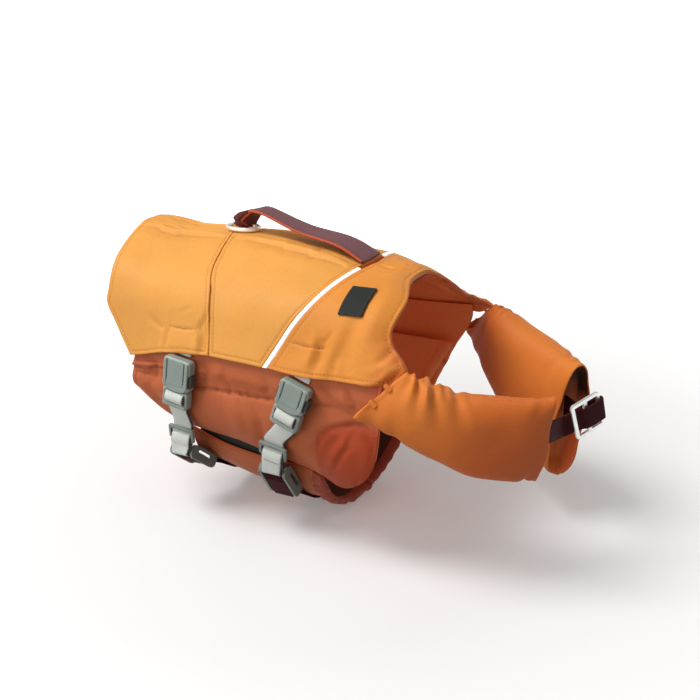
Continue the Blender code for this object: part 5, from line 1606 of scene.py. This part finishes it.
def finish_solid(node, finish, width_mm):
    """Give a solid that shows as it is its finish and soft edges."""
    solid = solids[node]
    solid.data.materials.clear()
    solid.data.materials.append(finish)
    soften(solid, width_mm)


for end in ("rear", "front"):
    for part, (finish, width_mm) in FITTINGS.items():
        finish_solid(f"{end}_{part}", finish, width_mm)
finish_solid("chest_slide", satin_metal, 0.5)
print("fittings:", 2 * len(FITTINGS) + 1)

# %% [markdown]
# A side-release buckle has a female half, a box with a raised face, a rail down each side and slots in
# which the prongs show, and a male half that ends in a bar with the webbing rolled over it. Such details
# are flat outlines with a thickness, so one helper moulds them all. They are set out in the buckle's own
# frame in millimetres: X across the webbing, Y down it from the buckle's top, and Z out from the body.

# %% Buckle helpers
BUCKLES = {
    # end: top of the female half and lower end of the male half (mm)
    "rear": ((-43.5, -109.7, -80.7), (-49.5, -111.3, -126.5)),
    "front": ((76.0, -111.5, -80.8), (63.0, -113.0, -120.5)),
}


def buckle_frame(top, foot):
    """A buckle's top with its three axes as columns, and its length."""
    origin, way = np.array(top), np.array(foot) - np.array(top)
    down = unit(way)
    across = np.array((-1.0, 0.0, 0.0))
    across = unit(across - down * (across @ down))
    return (origin, np.column_stack([across, down, np.cross(across, down)])), np.linalg.norm(way)


def moulding(piece, frame, outline, low, high, finish, soft_mm):
    """A flat outline in a buckle's frame, given a thickness and soft edges."""
    origin, axes = frame
    count = len(outline)
    points = [origin + axes @ np.array((x, y, z)) for z in (low, high) for x, y in outline]
    faces = [tuple(reversed(range(count))), tuple(range(count, 2 * count))]
    for index in range(count):
        after = (index + 1) % count
        faces.append((index, after, count + after, count + index))
    thing = link_mesh(piece, np.array(points) * MM, faces, smooth=False)
    face_outwards(thing)
    thing.data.materials.append(finish)
    soften(thing, soft_mm)
    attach(thing, "root")


def rounded(left, right, upper, lower, corner):
    """Outline of a rectangle with round corners."""
    answer = []
    for cx, cy, start in ((right - corner, lower - corner, 0), (left + corner, lower - corner, 90),
                          (left + corner, upper + corner, 180), (right - corner, upper + corner, 270)):
        for step in range(4):
            angle = math.radians(start + 30 * step)
            answer.append((cx + corner * math.cos(angle), cy + corner * math.sin(angle)))
    return answer


# %% Female half
# height of the solid's face; the details stand in it a little and rise above it
FACE_MM, SUNK_MM = 4.75, 0.6
# the curved end of the female half, over the split between the halves
ARC_HALF_MM, ARC_BACK_MM, ARC_RISE_MM, ARC_STEPS = 11.8, 3.4, 4.6, 15
RAIL_X, PRONG_X, LINE_X = 11.1, 13.4, 8.95


def female_details(end, frame, split):
    """Apron, rails, thin lines of painted shade in the grooves, prongs in their slots over painted shade,
    raised face, and a line of painted shade where the halves meet.
    """
    name, base = end + "_buckle_", FACE_MM - SUNK_MM
    arc = [(ARC_HALF_MM * math.cos(angle), split - ARC_BACK_MM + ARC_RISE_MM * math.sin(angle))
           for angle in np.linspace(0.0, math.pi, ARC_STEPS)]
    apron = arc + [(-ARC_HALF_MM, split - 6.5), (-9.6, split - 8.0), (9.6, split - 8.0),
                   (ARC_HALF_MM, split - 6.5)]
    moulding(name + "apron", frame, apron, base, FACE_MM + 0.75, buckle_plastic, 0.4)
    for label, sign in (("left", -1), ("right", 1)):
        rail, prong, line = RAIL_X * sign, PRONG_X * sign, LINE_X * sign
        outline = rounded(rail - 1.7, rail + 1.7, 1.2, split - 3.0, 1.3)
        moulding(name + "rail_" + label, frame, outline, base, FACE_MM + 1.25, buckle_plastic, 0.7)
        outline = rounded(prong - 1.5, prong + 1.2, split - 16.4, split - 5.6, 1.1)
        moulding(name + "prong_" + label, frame, outline, -2.6, 2.6, prong_and_shade_plastic, 0.5)
        # a thin dark line of painted shade in the groove between the face and the rail
        outline = rounded(line - 0.3, line + 0.3, 2.4, split - 5.0, 0.2)
        moulding(name + "line_" + label, frame, outline, FACE_MM - 0.5, FACE_MM + 0.3, prong_and_shade_plastic, 0.02)
        # the slot's black is painted shade behind the prong
        outline = rounded(prong - 1.9, prong + 1.0, split - 17.2, split - 4.8, 1.2)
        moulding(name + "slot_" + label, frame, outline, -3.1, 3.1, shade_black_plastic, 0.1)
    outline = rounded(-8.5, 8.5, 0.8, split - 4.6, 2.2)
    moulding(name + "face", frame, outline, base, FACE_MM + 1.15, buckle_plastic, 0.7)
    # a dark line of painted shade where the halves meet
    split_line = [(x, y + 0.55) for x, y in arc] + [(x, y - 0.25) for x, y in reversed(arc)]
    moulding(name + "split", frame, split_line, FACE_MM - 0.5, FACE_MM + 0.30, shade_black_plastic, 0.02)


# %% Male half
MALE_FACE_MM, MALE_LENGTH_MM, BAR_HALF_MM = 4.35, 17.0, 0.7
# the webbing's way over the bar: distance below the split and height out from the body
ROLL = ((2.2, 0.8), (2.5, 2.8), (3.8, 4.6), (6.2, 5.7), (8.8, 5.9), (11.2, 5.0), (12.4, 3.2), (12.6, 1.0))
WEBBING_HALF_MM, WEBBING_HALF_THICK_MM = 10.0, 0.75


def webbing_roll(end, frame, split):
    """Grey webbing rolled over the bar of the male half, with its dark edge loops of selvedge and painted
    shade.
    """
    origin, axes = frame
    path = np.array([origin + axes @ np.array((0.0, split + below, height)) for below, height in ROLL])
    half = axes[:, 0] * WEBBING_HALF_MM
    thick = np.cross(unit(np.gradient(path, axis=0)), axes[:, 0]) * WEBBING_HALF_THICK_MM
    rings = np.stack([path + half + thick, path - half + thick, path - half - thick,
                      path + half - thick], axis=1)
    _, line, across = woven_strap(rings, end + "_webbing_roll", grey_web)
    selvedge_and_shade(end + "_webbing_roll_selvedge", line, across)


def yoke_bar(end, frame, length):
    """The bar across the lower end of the male half."""
    outline = rounded(-12.2, 12.2, length - 3.7, length - 0.3, 1.5)
    moulding(end + "_yoke_bar", frame, outline, MALE_FACE_MM - BAR_HALF_MM, MALE_FACE_MM + BAR_HALF_MM,
             buckle_plastic, 0.6)


for end, (top, foot) in BUCKLES.items():
    own_frame, length = buckle_frame(top, foot)
    split = length - MALE_LENGTH_MM
    female_details(end, own_frame, split)
    webbing_roll(end, own_frame, split)
    yoke_bar(end, own_frame, length)
    print(end, "buckle:", round(length, 1), "mm long, halves meet at", round(split, 1))
